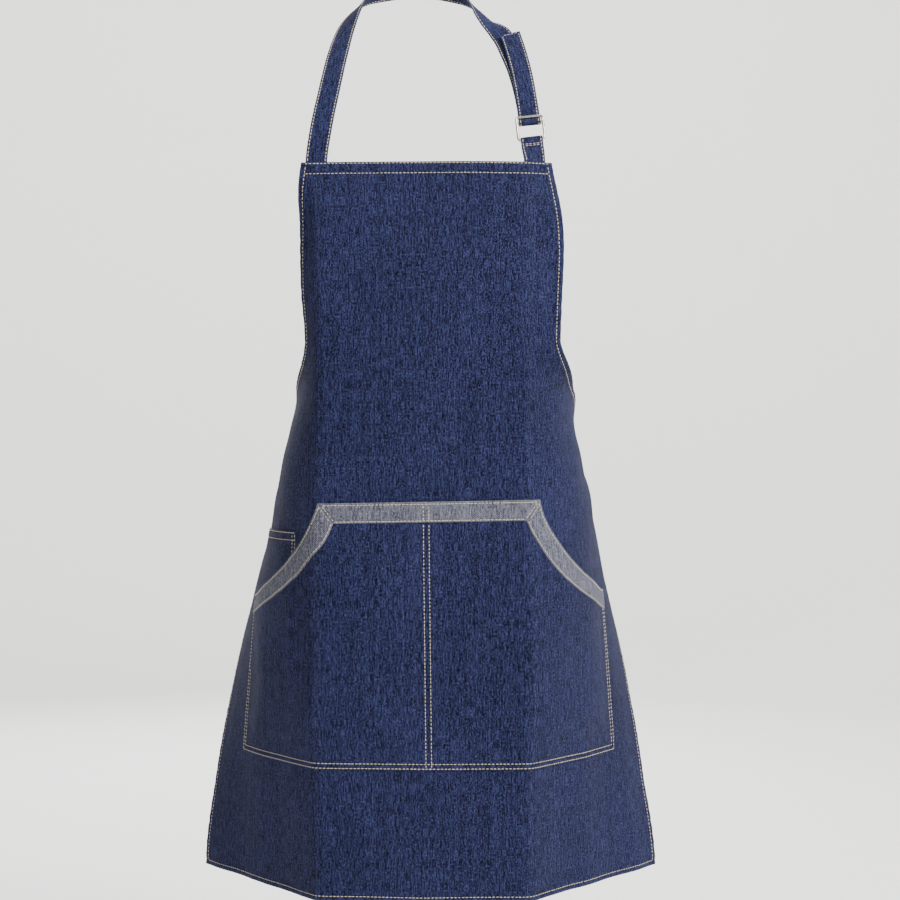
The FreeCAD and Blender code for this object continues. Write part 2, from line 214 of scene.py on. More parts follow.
def bare_cloth(u, v):
    """The places of the cloth's points (u, v) on its outer face, before any wrinkle."""
    u, v = np.broadcast_arrays(np.asarray(u, float), np.asarray(v, float))
    side = np.where(u < 0, -1.0, 1.0)
    crease = np.where(u < 0, CREASE_LEFT, CREASE_RIGHT)
    turn = np.radians(np.where(u < 0, along_curve(TURN_LEFT, v), along_curve(TURN_RIGHT, v)))
    bend = np.radians(along_curve(SIDE_BEND, v)) / (SKIRT_HALF - crease)
    across = np.abs(u)
    flat = crease - CREASE_RADIUS
    front = np.minimum(across, flat)
    x, y, angle = arc_step(0.0, 0.0, 0.0, front, FRONT_CROWN * front / flat)
    fold = np.clip(across - flat, 0.0, 2 * CREASE_RADIUS)
    x, y, angle = arc_step(x, y, angle, fold, turn * fold / (2 * CREASE_RADIUS))
    beyond = np.maximum(across - flat - 2 * CREASE_RADIUS, 0.0)
    x, y, angle = arc_step(x, y, angle, beyond, bend * beyond)
    y = y + along_curve(FRONT_SWELL, v)
    return np.stack([side * x - NAPE[0], y - NAPE[1], -v - NAPE[2]], axis=-1)


def unit(vectors):
    """The vectors at length 1."""
    return vectors / np.maximum(np.linalg.norm(vectors, axis=-1, keepdims=True), 1e-12)


def cloth_normal(u, v):
    """The cloth's outward directions at (u, v)."""
    step = 0.0015
    across = bare_cloth(u + step, v) - bare_cloth(u - step, v)
    v = np.clip(v, step, LENGTH - step)
    down = bare_cloth(u, v + step) - bare_cloth(u, v - step)
    return unit(np.cross(down, across))


def lattice_noise(x, y, seed):
    """Smooth noise from -1 to 1 with features one unit across, the same on each run."""
    size = 64
    table = np.random.RandomState(seed).uniform(-1, 1, (size, size))
    i, j = np.floor(x).astype(int), np.floor(y).astype(int)
    s, t = x - i, y - j
    s, t = s * s * (3 - 2 * s), t * t * (3 - 2 * t)
    corners = [table[(i + a) % size, (j + b) % size] for a in (0, 1) for b in (0, 1)]
    low = corners[0] * (1 - t) + corners[1] * t
    high = corners[2] * (1 - t) + corners[3] * t
    return low * (1 - s) + high * s


def flat_line(u, v):
    """Flat points from their u and v, either of which may be one number for all of them."""
    return np.stack(np.broadcast_arrays(np.asarray(u, float), np.asarray(v, float)), axis=-1)


def ease(x, low, high):
    """0 below low, 1 above high and smooth between."""
    t = np.clip((x - low) / (high - low), 0.0, 1.0)
    return t * t * (3 - 2 * t)


def wrinkle(u, v):
    """How far the hanging cloth stands out of its plain shape, shared by all its layers."""
    across = np.abs(u)
    lower = ease(v, 0.45, 0.80)
    beyond = ease(across, 0.13, 0.22)
    phase = 2 * np.pi * (across - 0.02 * v) / 0.092 + 0.6 * np.sign(u)
    folds = 0.0011 * lower * beyond * np.sin(phase)
    front = 0.0009 * ease(v, 0.50, 0.80) * (1 - beyond) * np.cos(2 * np.pi * u / 0.118)
    drag = np.hypot(across - 0.350, v - 0.300)
    angle = np.arctan2(v - 0.300, 0.350 - across)
    pull = 0.0018 * np.sin(angle * 11.0) * np.exp(-drag / 0.11) * ease(drag, 0.01, 0.05)
    soft = 0.0009 * lattice_noise(u / 0.075 + 7.3, v / 0.115 + 2.1, 3)
    small = 0.00045 * lattice_noise(u / 0.021 + 3.1, v / 0.033 + 9.7, 5)
    bust = 0.0010 * np.sin(2 * np.pi * v / 0.165 + 4.0 * u / 0.15) * (1 - ease(v, 0.20, 0.36))
    return folds + front + pull + soft + small + bust


def on_cloth(u, v, out=0.0):
    """The places of the cloth's points (u, v), moved out of its outer face by out."""
    u, v = np.broadcast_arrays(np.asarray(u, float), np.asarray(v, float))
    lift = wrinkle(u, v) + out
    return bare_cloth(u, v) + cloth_normal(u, v) * np.asarray(lift)[..., None]


def on_pocket(u, v, out=0.0):
    """The places of the pocket's points (u, v): its top shifted and leaning, its foot as cut."""
    share = np.minimum(1.0, (POCKET_BOTTOM - np.asarray(v)) / (POCKET_BOTTOM - POCKET_TOP))
    return on_cloth(u + POCKET_SHIFT * share, v + POCKET_LEAN * u * share, out)


# ---------------------------------------------------------------- outlines on the flat cloth


def bib_half_width(v):
    """Half the cloth's width at v, down the bib's side and round the armhole."""
    v = np.asarray(v, float)
    flare = np.sin(np.pi / 2 * np.minimum(1.0, v / BIB_FLARE_HEIGHT))
    bib = BIB_TOP_HALF + (BIB_SIDE_HALF - BIB_TOP_HALF) * flare
    reach = np.clip((v - BIB_STRAIGHT_HEIGHT) / ARMHOLE_HEIGHT, 0.0, 1.0)
    return bib + (SKIRT_HALF - BIB_SIDE_HALF) * reach**2


def bezier(a, b, c, t):
    """The value at t of a quadratic curve."""
    return a * (1 - t) ** 2 + 2 * b * t * (1 - t) + c * t * t


def mitre_u(inset):
    """The u of the mitre between the top band and the right hand one, at its inset from the edge."""
    return POCKET_TOP_HALF - START_INSET[0] * inset


def mitre_v(inset):
    """The v of that mitre."""
    return POCKET_TOP + START_INSET[1] * inset


def opening_frame(inset):
    """The three (u, v) that shape the right hand opening's edge, or the line inset from it."""
    start = (mitre_u(inset), mitre_v(inset))
    pull_u = POCKET_TOP_HALF + OPENING_PULL[0] - PULL_INSET * inset
    pull_v = POCKET_TOP + OPENING_PULL[1] + PULL_INSET * inset
    return start, (pull_u, pull_v), (POCKET_HALF, POCKET_SIDE_TOP + inset)


def opening_line(share, inset=0.0):
    """The u and v along the right hand opening's edge, or along the line inset from it."""
    (u0, v0), (u1, v1), (u2, v2) = opening_frame(inset)
    return bezier(u0, u1, u2, share), bezier(v0, v1, v2, share)


def resample(points, spacing):
    """The line through the points, again at even steps of about spacing."""
    points = np.asarray(points, float)
    along = np.concatenate([[0.0], np.cumsum(np.linalg.norm(np.diff(points, axis=0), axis=1))])
    count = max(2, int(round(along[-1] / spacing)) + 1)
    places = np.linspace(0.0, along[-1], count)
    return np.stack([np.interp(places, along, points[:, k]) for k in range(points.shape[1])], axis=-1)


def inset_line(points, distance):
    """The flat line moved to its left by distance, seen with v downwards."""
    points = np.asarray(points, float)
    tangent = unit(np.gradient(points, axis=0))
    return points + np.stack([tangent[:, 1], -tangent[:, 0]], axis=-1) * distance


def panel_side_line():
    """The panel's right edge from the bib's corner down its side, round the armhole and to the hem."""
    bib = [(bib_half_width(v), v) for v in np.linspace(0.0, BIB_STRAIGHT_HEIGHT, 40)]
    reach = np.linspace(0.0, 1.0, 60)[1:]
    wider = BIB_SIDE_HALF + (SKIRT_HALF - BIB_SIDE_HALF) * reach**2
    armhole = list(zip(wider, BIB_STRAIGHT_HEIGHT + ARMHOLE_HEIGHT * reach))
    skirt = [(SKIRT_HALF, v) for v in np.linspace(BIB_STRAIGHT_HEIGHT + ARMHOLE_HEIGHT, LENGTH, 90)[1:]]
    return resample(bib + armhole + skirt, 0.002)


def distance_to(u, v, line):
    """The flat distance from each point (u, v) to the nearest point of a densely sampled line."""
    flat = np.stack([np.ravel(u), np.ravel(v)], axis=-1)
    nearest = np.full(len(flat), 9.0)
    for start in range(0, len(flat), 4000):
        part = flat[start : start + 4000]
        gaps = np.linalg.norm(part[:, None, :] - line[None, :, :], axis=-1)
        nearest[start : start + 4000] = gaps.min(axis=1)
    return nearest.reshape(np.shape(u))


def groove(distance):
    """The dent that a row of stitches pulls into the cloth."""
    return -GROOVE_DEPTH * np.exp(-((distance / GROOVE_WIDTH) ** 2))


def pucker(distance, along, reach=0.009):
    """The small gathers along a seam, which die away from it."""
    waves = np.sin(2 * np.pi * along / 0.0094) + 0.6 * np.sin(2 * np.pi * along / 0.0137 + 1.3)
    return 0.00016 * waves * np.exp(-((distance / reach) ** 2))


def edge_round(distance, radius):
    """How far a folded edge falls away within radius of the fold."""
    share = np.clip(1.0 - distance / radius, 0.0, 1.0)
    return radius * (1.0 - np.sqrt(1.0 - share**2 * 0.98))


# ---------------------------------------------------------------- meshes


def mesh_object(name, points, faces, uv=None, wear_and_highlight=None):
    """A smooth-shaded object at the origin with its faces outwards."""
    mesh = bpy.data.meshes.new(name)
    mesh.from_pydata(np.asarray(points).tolist(), [], faces)
    if uv is not None:
        corners = np.zeros(len(mesh.loops), np.int32)
        mesh.loops.foreach_get("vertex_index", corners)
        layer = mesh.uv_layers.new(name="cloth")
        layer.data.foreach_set("uv", np.asarray(uv, np.float32)[corners].ravel())
    # This attribute holds wear at folded edges and, on the panel and pocket, a painted highlight along
    # the creases.
    if wear_and_highlight is not None:
        attribute = mesh.attributes.new("wear_and_highlight", "FLOAT", "POINT")
        attribute.data.foreach_set("value", np.asarray(wear_and_highlight, np.float32))
    mesh.shade_smooth()
    piece = bpy.data.objects.new(name, mesh)
    bpy.context.scene.collection.objects.link(piece)
    return piece


def slab(name, front, back, uv, wear_and_highlight, reverse=None):
    """A closed sheet from its two faces' grids of points. reverse marks where its wrong side shows."""
    rows, columns = front.shape[:2]
    count = rows * columns
    index = np.arange(count).reshape(rows, columns)
    a, b, c, d = index[:-1, :-1], index[:-1, 1:], index[1:, 1:], index[1:, :-1]
    top = np.stack([a, d, c, b], axis=-1).reshape(-1, 4)
    under = np.stack([a, b, c, d], axis=-1).reshape(-1, 4) + count
    rim = np.concatenate([index[0, :], index[1:, -1], index[-1, -2::-1], index[-2:0:-1, 0]])
    following = np.roll(rim, -1)
    side = np.stack([rim, following, following + count, rim + count], axis=-1)
    faces = np.concatenate([top, under, side])
    points = np.concatenate([front.reshape(-1, 3), back.reshape(-1, 3)])
    quads = points[faces]
    volume = np.einsum("ij,ij->i", quads[:, 0], np.cross(quads[:, 1], quads[:, 2])).sum()
    volume += np.einsum("ij,ij->i", quads[:, 0], np.cross(quads[:, 2], quads[:, 3])).sum()
    if volume < 0:
        faces = faces[:, ::-1]
    flat = np.concatenate([uv.reshape(-1, 2)] * 2)
    worn = np.concatenate([wear_and_highlight.ravel()] * 2)
    piece = mesh_object(name, points, faces.tolist(), flat, worn)
    if reverse is not None:
        finish = np.zeros(len(faces), np.int32)
        finish[len(top) : 2 * len(top)] = (reverse[:-1, :-1] & reverse[1:, 1:]).ravel()
        piece.data.polygons.foreach_set("material_index", finish)
    return piece


def stitch_mesh(name, rows, seed):
    """Topstitches as one object. Each row is a flat line, and two functions that place it in space."""
    sewing = bpy.context.scene.apron_sewing
    length, pitch, thick = sewing.stitch_length, sewing.stitch_pitch, sewing.thread_thickness
    random = np.random.RandomState(seed)
    starts, middles, ends, normals = [], [], [], []
    for line, place, out in rows:
        line = np.asarray(line, float)
        along = np.concatenate([[0.0], np.cumsum(np.linalg.norm(np.diff(line, axis=0), axis=1))])
        count = max(1, int((along[-1] - length) / pitch) + 1)
        first = (along[-1] - (count - 1) * pitch - length) / 2 + pitch * np.arange(count)
        first = first + random.uniform(-0.06, 0.06, count) * pitch

        def at(places, lift):
            flat = [np.interp(places, along, line[:, k]) for k in range(2)]
            return place(flat[0], flat[1], out(flat[0], flat[1]) + lift)

        sway = random.uniform(0.8, 1.2, count)
        starts.append(at(first, -0.0003))
        middles.append(at(first + length * 0.5, thick * 0.28 * sway))
        ends.append(at(first + length, -0.0003))
        normals.append(at(first + length * 0.5, 0.002) - at(first + length * 0.5, 0.0))
    start, middle, end = np.concatenate(starts), np.concatenate(middles), np.concatenate(ends)
    normal = unit(np.concatenate(normals))
    forward = unit(end - start)
    side = unit(np.cross(forward, normal))
    up = np.cross(side, forward)
    sides, rings = 6, ((0.14, 0.72, 0.5), (0.5, 1.0, 1.0), (0.86, 0.72, 0.5))
    block = [start[:, None, :]]
    for share, size, rise in rings:
        chord = start + (end - start) * share
        base = chord + (middle - (start + end) / 2) * rise
        for k in range(sides):
            angle = 2 * math.pi * k / sides
            spoke = side * math.cos(angle) + up * 0.8 * math.sin(angle)
            block.append((base + spoke * (thick / 2 * size))[:, None, :])
    block.append(end[:, None, :])
    points = np.concatenate(block, axis=1)
    per = points.shape[1]
    pattern = []
    for k in range(sides):
        n = (k + 1) % sides
        pattern.append((0, 1 + n, 1 + k))
        for ring in range(len(rings) - 1):
            low, high = 1 + ring * sides, 1 + (ring + 1) * sides
            pattern.append((low + k, low + n, high + n, high + k))
        last = 1 + (len(rings) - 1) * sides
        pattern.append((last + k, last + n, per - 1))
    faces = [tuple(c + s * per for c in face) for s in range(len(start)) for face in pattern]
    return mesh_object(name, points.reshape(-1, 3), faces)


class Strip:
    """A flat strap along a smooth route, addressed by how far across and along it a point lies."""

    def __init__(self, stations, width, spacing=0.0012):
        points = np.array([p for p, _ in stations], float)
        normals = unit(np.array([n for _, n in stations], float))
        spans = np.sqrt(np.linalg.norm(np.diff(points, axis=0), axis=1))
        knots = np.concatenate([[0.0], np.cumsum(spans)])
        slopes = np.gradient(points, knots, axis=0)
        fine, turned = [], []
        for i in range(len(points) - 1):
            h = knots[i + 1] - knots[i]
            steps = max(2, int(np.linalg.norm(points[i + 1] - points[i]) / spacing))
            t = (np.arange(steps) / steps)[:, None]
            rise = points[i] * (1 + 2 * t) * (1 - t) ** 2 + points[i + 1] * t * t * (3 - 2 * t)
            fine.append(rise + h * (slopes[i] * t * (1 - t) ** 2 - slopes[i + 1] * t * t * (1 - t)))
            turned.append(normals[i] * (1 - t) + normals[i + 1] * t)
        self.centre = np.concatenate([*fine, points[-1:]])
        tangent = unit(np.gradient(self.centre, axis=0))
        normal = np.concatenate([*turned, normals[-1:]])
        normal = normal - tangent * np.sum(normal * tangent, axis=1, keepdims=True)
        self.normal = unit(normal)
        self.side = unit(np.cross(tangent, self.normal))
        steps = np.linalg.norm(np.diff(self.centre, axis=0), axis=1)
        self.along = np.concatenate([[0.0], np.cumsum(steps)])
        self.length = self.along[-1]
        self.width = width

    def place(self, across, along, out):
        """The points at these places on the strap, moved out of its middle layer by out."""
        across, along, out = np.broadcast_arrays(across, along, out)
        centre, normal, side = (
            np.stack([np.interp(along, self.along, part[:, k]) for k in range(3)], axis=-1)
            for part in (self.centre, self.normal, self.side)
        )
        return centre + side * across[..., None] + normal * out[..., None]

    def stretch(self, first, last):
        """The strap between its points nearest to two places, cut square."""
        start, end = (np.argmin(np.linalg.norm(self.centre - p, axis=1)) for p in (first, last))
        part = copy.copy(self)
        for name in ("centre", "normal", "side", "along"):
            setattr(part, name, getattr(self, name)[start : end + 1])
        part.along = part.along - part.along[0]
        part.length = part.along[-1]
        return part


def strap_relief(strip, seed):
    """The strap's soft upper surface: dents at its two stitch rows and slightly uneven cloth."""

    def relief(a, b):
        near = np.abs(np.abs(a) - (strip.width / 2 - STRAP_ROW))
        soft = 0.00018 * lattice_noise(a / 0.009 + seed, b / 0.013 + seed * 1.7, 11)
        return groove(near) * 0.7 + soft + 0.00012 * np.sin(2 * np.pi * b / 0.0083) * (near < 0.004)

    return relief


def strap_piece(name, strip, thickness, seed, square=(False, False)):
    """A flat strap with folded edges. square says which of its ends butt against another piece."""
    half = strip.width / 2
    across = np.concatenate([[-1.0, -0.965, -0.9], np.linspace(-0.82, 0.82, 13), [0.9, 0.965, 1.0]])
    across = across * half
    count = max(6, int(strip.length / 0.0028))
    along = np.linspace(0.0, strip.length, count)
    for end, cut in ((0, square[0]), (1, square[1])):
        if not cut:
            extra = np.array([0.0004, 0.0011])
            along = np.concatenate([along, strip.length - extra if end else extra])
    along = np.unique(along)
    a, b = np.meshgrid(across, along)
    fall = edge_round(half - np.abs(a), thickness / 2) * 0.9
    if not square[0]:
        fall = np.maximum(fall, edge_round(b, thickness / 2) * 0.9)
    if not square[1]:
        fall = np.maximum(fall, edge_round(strip.length - b, thickness / 2) * 0.9)
    bump = strap_relief(strip, seed)(a, b)
    front = strip.place(a, b, thickness / 2 - fall + bump)
    back = strip.place(a, b, -thickness / 2 + fall - bump * 0.6)
    wear_and_highlight = np.exp(-((half - np.abs(a)) / 0.0016)) * 0.9
    return slab(name, front, back, flat_line(a + seed, b), wear_and_highlight)


def strap_rows(strip, thickness, seed, ends=(0.002, 0.002), faces=(1, -1)):
    """The stitch rows down both edges of a strap, on the faces asked for."""
    relief = strap_relief(strip, seed)
    rows = []
    for face in faces:
        for edge in (-1, 1):
            along = np.linspace(ends[0], strip.length - ends[1], 400)
            line = flat_line(edge * (strip.width / 2 - STRAP_ROW), along)

            def place(a, b, out, face=face):
                return strip.place(a, b, out * face)

            rows.append((line, place, lambda a, b: thickness / 2 + relief(a, b)))
    return rows


# ---------------------------------------------------------------- panel and pockets


def panel_edges(u, v):
    """The flat distances to the bib's top edge, to the sides and armholes, and to the hem."""
    return v, distance_to(np.abs(u), v, panel_side_line()), LENGTH - v


def panel_relief(u, v):
    """How the panel's outer face dents and gathers at its hems."""
    u, v = np.broadcast_arrays(np.asarray(u, float), np.asarray(v, float))
    top, side, hem = panel_edges(u, v)
    dents = groove(top - BIB_HEM_ROWS[0]) + groove(top - BIB_HEM_ROWS[1]) + groove(hem - EDGE_ROW)
    dents = dents + groove(side - EDGE_ROW)
    gathers = pucker(side - 0.006, v + 0.3 * np.abs(u)) + pucker(hem - 0.006, u)
    gathers = gathers + pucker(top - 0.008, u)
    ridge = 0.0003 * (1 - ease(np.minimum(side, hem), HEM_DEPTH - 0.001, HEM_DEPTH + 0.001))
    ridge = ridge + 0.0003 * (1 - ease(top, BIB_HEM_DEPTH - 0.001, BIB_HEM_DEPTH + 0.001))
    return dents + gathers + ridge


def panel_grid():
    """The flat places of the panel's mesh, finer along its creases and hems."""
    steps = [(0.0, 0.101, 24), (0.101, 0.130, 16)]
    inner = np.unique(np.concatenate([np.linspace(a, b, n) for a, b, n in steps]))
    edge = [0.0, 0.0003, 0.0009, 0.0018, 0.003, 0.0042, 0.005]
    edge = np.array(edge + [0.0056, 0.0062, 0.007, 0.0084, 0.0096, 0.011])
    rows = [[0.0, 0.0003, 0.0009, 0.0016, 0.0024, 0.004]]
    rows += [[0.007, 0.0105, 0.0118, 0.0125, 0.0132, 0.0145, 0.0165]]
    rows.append(np.arange(0.020, 0.190, 0.0045))
    rows.append(np.arange(0.190, 0.286, 0.0032))
    rows.append(np.arange(0.290, 0.7885, 0.0046))
    rows.append(LENGTH - edge[::-1])
    v = np.unique(np.concatenate(rows))
    half = bib_half_width(v)
    share = np.minimum(1.0, (half - 0.130) / 0.022)
    beyond = np.linspace(0.0, 1.0, 42)[:-1]
    outer = 0.130 + beyond[None, :] * (half - edge[-1] * share - 0.130)[:, None]
    rim = half[:, None] - edge[::-1][None, :] * share[:, None]
    right = np.concatenate([outer[:, 1:], rim], axis=1)
    middle = np.concatenate([-inner[:0:-1], inner])
    u = np.concatenate([-right[:, ::-1], np.tile(middle, (len(v), 1)), right], axis=1)
    return u, np.tile(v[:, None], (1, u.shape[1]))


def wear_and_crease_highlight(u, edge):
    """How far the cloth is worn pale at its folded edges, with a painted highlight along its two
    creases.
    """
    crease = np.where(u < 0, CREASE_LEFT, CREASE_RIGHT)
    # The first term is wear at the folded edges; the second paints a highlight along the two creases.
    return 0.8 * np.exp(-edge / 0.0014) + 0.16 * np.exp(-(((np.abs(u) - crease) / 0.0035) ** 2))


def make_panel():
    """The one large cloth of the apron, with its hems turned to the back."""
    u, v = panel_grid()
    top, side, hem = panel_edges(u, v)
    edge = np.minimum(np.minimum(top, side), hem)
    folded = 1 - ease(np.minimum(side, hem), HEM_DEPTH - 0.0006, HEM_DEPTH + 0.0006)
    folded = np.maximum(folded, 1 - ease(top, BIB_HEM_DEPTH - 0.0006, BIB_HEM_DEPTH + 0.0006))
    relief = panel_relief(u, v)
    fall = edge_round(edge, 0.0010)
    front = on_cloth(u, v, relief - fall)
    back = on_cloth(u, v, relief * 0.5 - CLOTH - 0.0011 * folded + fall)
    return slab("main_panel_cloth", front, back, flat_line(u, v), wear_and_crease_highlight(u, edge), folded < 0.5)


def make_panel_stitches():
    """Two rows along the bib's top, one down each side and one along the hem."""
    bib = np.linspace(-BIB_TOP_HALF + 0.003, BIB_TOP_HALF - 0.003, 200)
    rows = [(flat_line(bib, v), on_cloth, panel_relief) for v in BIB_HEM_ROWS]
    hem = np.linspace(-SKIRT_HALF + 0.004, SKIRT_HALF - 0.004, 500)
    rows.append((flat_line(hem, LENGTH - EDGE_ROW), on_cloth, panel_relief))
    line = inset_line(panel_side_line(), -EDGE_ROW)
    line = line[(line[:, 1] > 0.002) & (line[:, 1] < LENGTH - 0.003)]
    for side in (-1.0, 1.0):
        rows.append((line * np.array([side, 1.0]), on_cloth, panel_relief))
    return stitch_mesh("panel_topstitching", rows, 21)


def opening_v(u):
    """The v of the pocket's upper edge at u."""
    line_u, line_v = opening_line(np.linspace(0.0, 1.0, 400))
    return np.where(np.abs(u) <= POCKET_TOP_HALF, POCKET_TOP, np.interp(np.abs(u), line_u, line_v))


def pocket_base(u, v):
    """How far the pocket's inner face stands off the panel: sewn flat at its seams, full between."""
    side = POCKET_HALF - np.abs(u)
    bottom = POCKET_BOTTOM - v
    centre = np.abs(u - pocket_centre(v))
    past = np.abs(u) - POCKET_TOP_HALF
    top = np.where(past <= 0, v - POCKET_TOP, np.hypot(past, v - POCKET_TOP))
    corner = np.hypot(side, v - POCKET_SIDE_TOP)
    nearest = np.minimum.reduce([*(np.maximum(gap, 0) for gap in (side, bottom, top)), centre, corner])
    sewn = np.maximum(nearest - 0.006, 0.0)
    uneven = 1 + 0.35 * lattice_noise(u / 0.06 + 4.4, v / 0.07 + 1.9, 8)
    full = POCKET_LIFT * ease(sewn, 0.0, 0.055) * uneven
    edge = 0.006
    over_patch = ease(-u, PATCH_INNER - edge, PATCH_INNER)
    over_patch = over_patch * (1 - ease(-u, PATCH_OUTER, PATCH_OUTER + edge))
    over_patch = over_patch * (1 - ease(v, PATCH_BOTTOM, PATCH_BOTTOM + edge))
    return 0.0004 + full + 0.0015 * over_patch


def pocket_centre(v):
    """The u of the pocket's dividing seam at v, which leans a little."""
    share = (np.asarray(v, float) - POCKET_TOP) / (POCKET_BOTTOM - POCKET_TOP)
    return -0.0042 + 0.0064 * share


def pocket_relief(u, v):
    """The pocket's outer face above the panel's, with the dents of its seams."""
    u, v = np.broadcast_arrays(np.asarray(u, float), np.asarray(v, float))
    side, bottom = POCKET_HALF - np.abs(u), POCKET_BOTTOM - v
    centre = np.abs(u - pocket_centre(v))
    dents = sum(groove(side - row) + groove(bottom - row) for row in SEAM_ROWS)
    dents = dents + groove(centre - CENTRE_ROW)
    gathers = pucker(side - 0.004, v) + pucker(bottom - 0.004, u) + 0.8 * pucker(centre, v)
    return pocket_base(u, v) + CLOTH + dents + gathers


def make_pocket():
    """The kangaroo pocket's one panel, cut to its two curved hand openings."""
    fine = np.array([0.0, 0.0003, 0.0009, 0.0015, 0.0022, 0.004, 0.0058, 0.0066, 0.0074, 0.009, 0.0115])
    right = np.concatenate([np.linspace(0.009, 0.100, 22), np.linspace(0.103, 0.132, 16)])
    beyond = np.linspace(0.136, POCKET_HALF - 0.0125, 30)
    right = np.concatenate([right, beyond, POCKET_HALF - fine[::-1]])
    seam = np.array([0.002, 0.0028, 0.0036, 0.0045, 0.0065])
    columns = np.concatenate([-right[::-1], -seam[::-1], [0.0], seam, right])
    down = np.concatenate([[0.0, 0.002, 0.006, 0.012], np.linspace(0.02, 0.945, 54)])
    top = opening_v(columns)
    rows = top[None, :] + down[:, None] * (POCKET_BOTTOM - 0.0125 - top)[None, :]
    foot = np.tile((POCKET_BOTTOM - fine[::-1])[:, None], (1, len(columns)))
    v = np.concatenate([rows, foot], axis=0)
    u = np.tile(columns[None, :], (len(v), 1))
    edge = np.minimum(POCKET_HALF - np.abs(u), POCKET_BOTTOM - v)
    fall = edge_round(edge, 0.0008)
    base = pocket_base(u, v)
    front = on_pocket(u, v, pocket_relief(u, v) - fall)
    back = on_pocket(u, v, base + fall * 0.2)
    inside = np.full(u.shape, True)
    return slab("pocket_panel_cloth", front, back, flat_line(u + 1.3, v + 0.4), wear_and_crease_highlight(u, edge), inside)


def make_pocket_stitches():
    """The double rows down the pocket's sides, along its foot and down its middle."""
    rows = []
    for inset in SEAM_ROWS:
        side, foot = POCKET_HALF - inset, POCKET_BOTTOM - inset
        top = POCKET_SIDE_TOP + 0.002
        corners = [(-side, top), (-side, foot), (side, foot), (side, top)]
        line = np.concatenate([np.linspace(a, b, 300)[:-1] for a, b in zip(corners[:-1], corners[1:])])
        rows.append((line, on_pocket, pocket_relief))
    v = np.linspace(POCKET_TOP + BAND_WIDTH + 0.001, POCKET_BOTTOM - 0.002, 300)
    for offset in (-CENTRE_ROW, CENTRE_ROW):
        rows.append((flat_line(pocket_centre(v) + offset, v), on_pocket, pocket_relief))
    return stitch_mesh("pocket_topstitching", rows, 22)


def band_relief(u, v, inset):
    """The band's outer face above the panel's, dented at its two stitch rows."""
    dents = sum(groove(inset - row) for row in BAND_ROWS)
    near = np.exp(-np.minimum(inset, BAND_WIDTH - inset) / 0.004)
    gathers = 0.00018 * np.sin(2 * np.pi * (np.abs(u) + v) / 0.0083) * near
    return pocket_base(u, v) + 2.2 * CLOTH + 1.3 * dents + gathers


def band_mesh(name, u, v, inset, ends, spare):
    """A bound edge round the pocket's raw edge. spare moves its weave away from other pieces' weave."""
    fall = edge_round(np.minimum(inset + 0.0010, BAND_WIDTH - inset), 0.0010)
    fall = np.maximum(fall, edge_round(ends, 0.0006))
    front = on_pocket(u, v, band_relief(u, v, inset) - fall)
    wrap = inset < 0.0005
    under = np.where(wrap, pocket_base(u, v) - 0.0002, pocket_base(u, v) + CLOTH * 0.9)
    back = on_pocket(u, v, under)
    worn = np.exp(-np.minimum(inset + 0.001, BAND_WIDTH - inset) / 0.0012)
    return slab(name, front, back, flat_line(u + spare, v), worn)


# A band's mesh lines, by their inset from the pocket's edge, closer together at its stitch rows
BAND_INSETS = (
    *(-0.0010, -0.0006, 0.0, 0.0008, 0.0016, 0.0024, 0.0045, 0.008, 0.0115, 0.015),
    *(0.018, 0.0195, 0.0202, 0.0209, 0.0214, 0.0218, BAND_WIDTH),
)


def make_curved_band(side, name):
    """The band round one hand opening."""
    along = np.linspace(0.0, 1.0, 90)
    t, i = np.meshgrid(along, BAND_INSETS, indexing="ij")
    u, v = opening_line(t, i)
    band_length = 0.19
    ends = np.minimum(t, 1 - t) * band_length + 0.0001
    return band_mesh(name, side * u, v, i, ends, 2.6)


def make_top_band():
    """The band along the pocket's straight top, mitred into the curved ones."""
    share = np.linspace(-1.0, 1.0, 110)
    s, i = np.meshgrid(share, BAND_INSETS, indexing="ij")
    ends = (1 - np.abs(s)) * POCKET_TOP_HALF + 0.0001
    return band_mesh("pocket_band_top_cloth", s * mitre_u(i), mitre_v(i), i, ends, 3.9)


def make_band_stitches():
    """Rows along the bands' edges and mitres, and the middle rows over the top band."""
    rows = []

    def relief(u, v):
        inset = np.full(np.shape(u), BAND_WIDTH / 2)
        return band_relief(u, v, inset) + GROOVE_DEPTH * -0.6

    for inset in BAND_ROWS:
        u, v = opening_line(np.linspace(0.012, 0.992, 200), inset)
        rows += [(flat_line(side * u, v), on_pocket, relief) for side in (-1.0, 1.0)]
        u = np.linspace(-1, 1, 200) * (mitre_u(inset) - 0.002)
        rows.append((flat_line(u, mitre_v(inset)), on_pocket, relief))
    inset = np.linspace(0.002, BAND_WIDTH - 0.002, 30)
    for side in (-1.0, 1.0):
        for shift in (-0.0022, 0.0022):
            rows.append((flat_line(side * (mitre_u(inset) + shift), mitre_v(inset)), on_pocket, relief))
    v = np.linspace(POCKET_TOP + 0.0015, POCKET_TOP + BAND_WIDTH - 0.001, 30)
    for offset in (-CENTRE_ROW, CENTRE_ROW):
        rows.append((flat_line(pocket_centre(v) + offset, v), on_pocket, relief))
    return stitch_mesh("band_topstitching", rows, 23)


def patch_base(u, v):
    """How far the patch pocket's inner face stands off the panel, open at its top."""
    sewn = np.minimum.reduce([-u - PATCH_INNER, PATCH_OUTER + u, PATCH_BOTTOM - v])
    return 0.0002 + 0.0010 * ease(sewn, 0.004, 0.03) * (1 - ease(v, PATCH_TOP + 0.02, PATCH_TOP + 0.09))


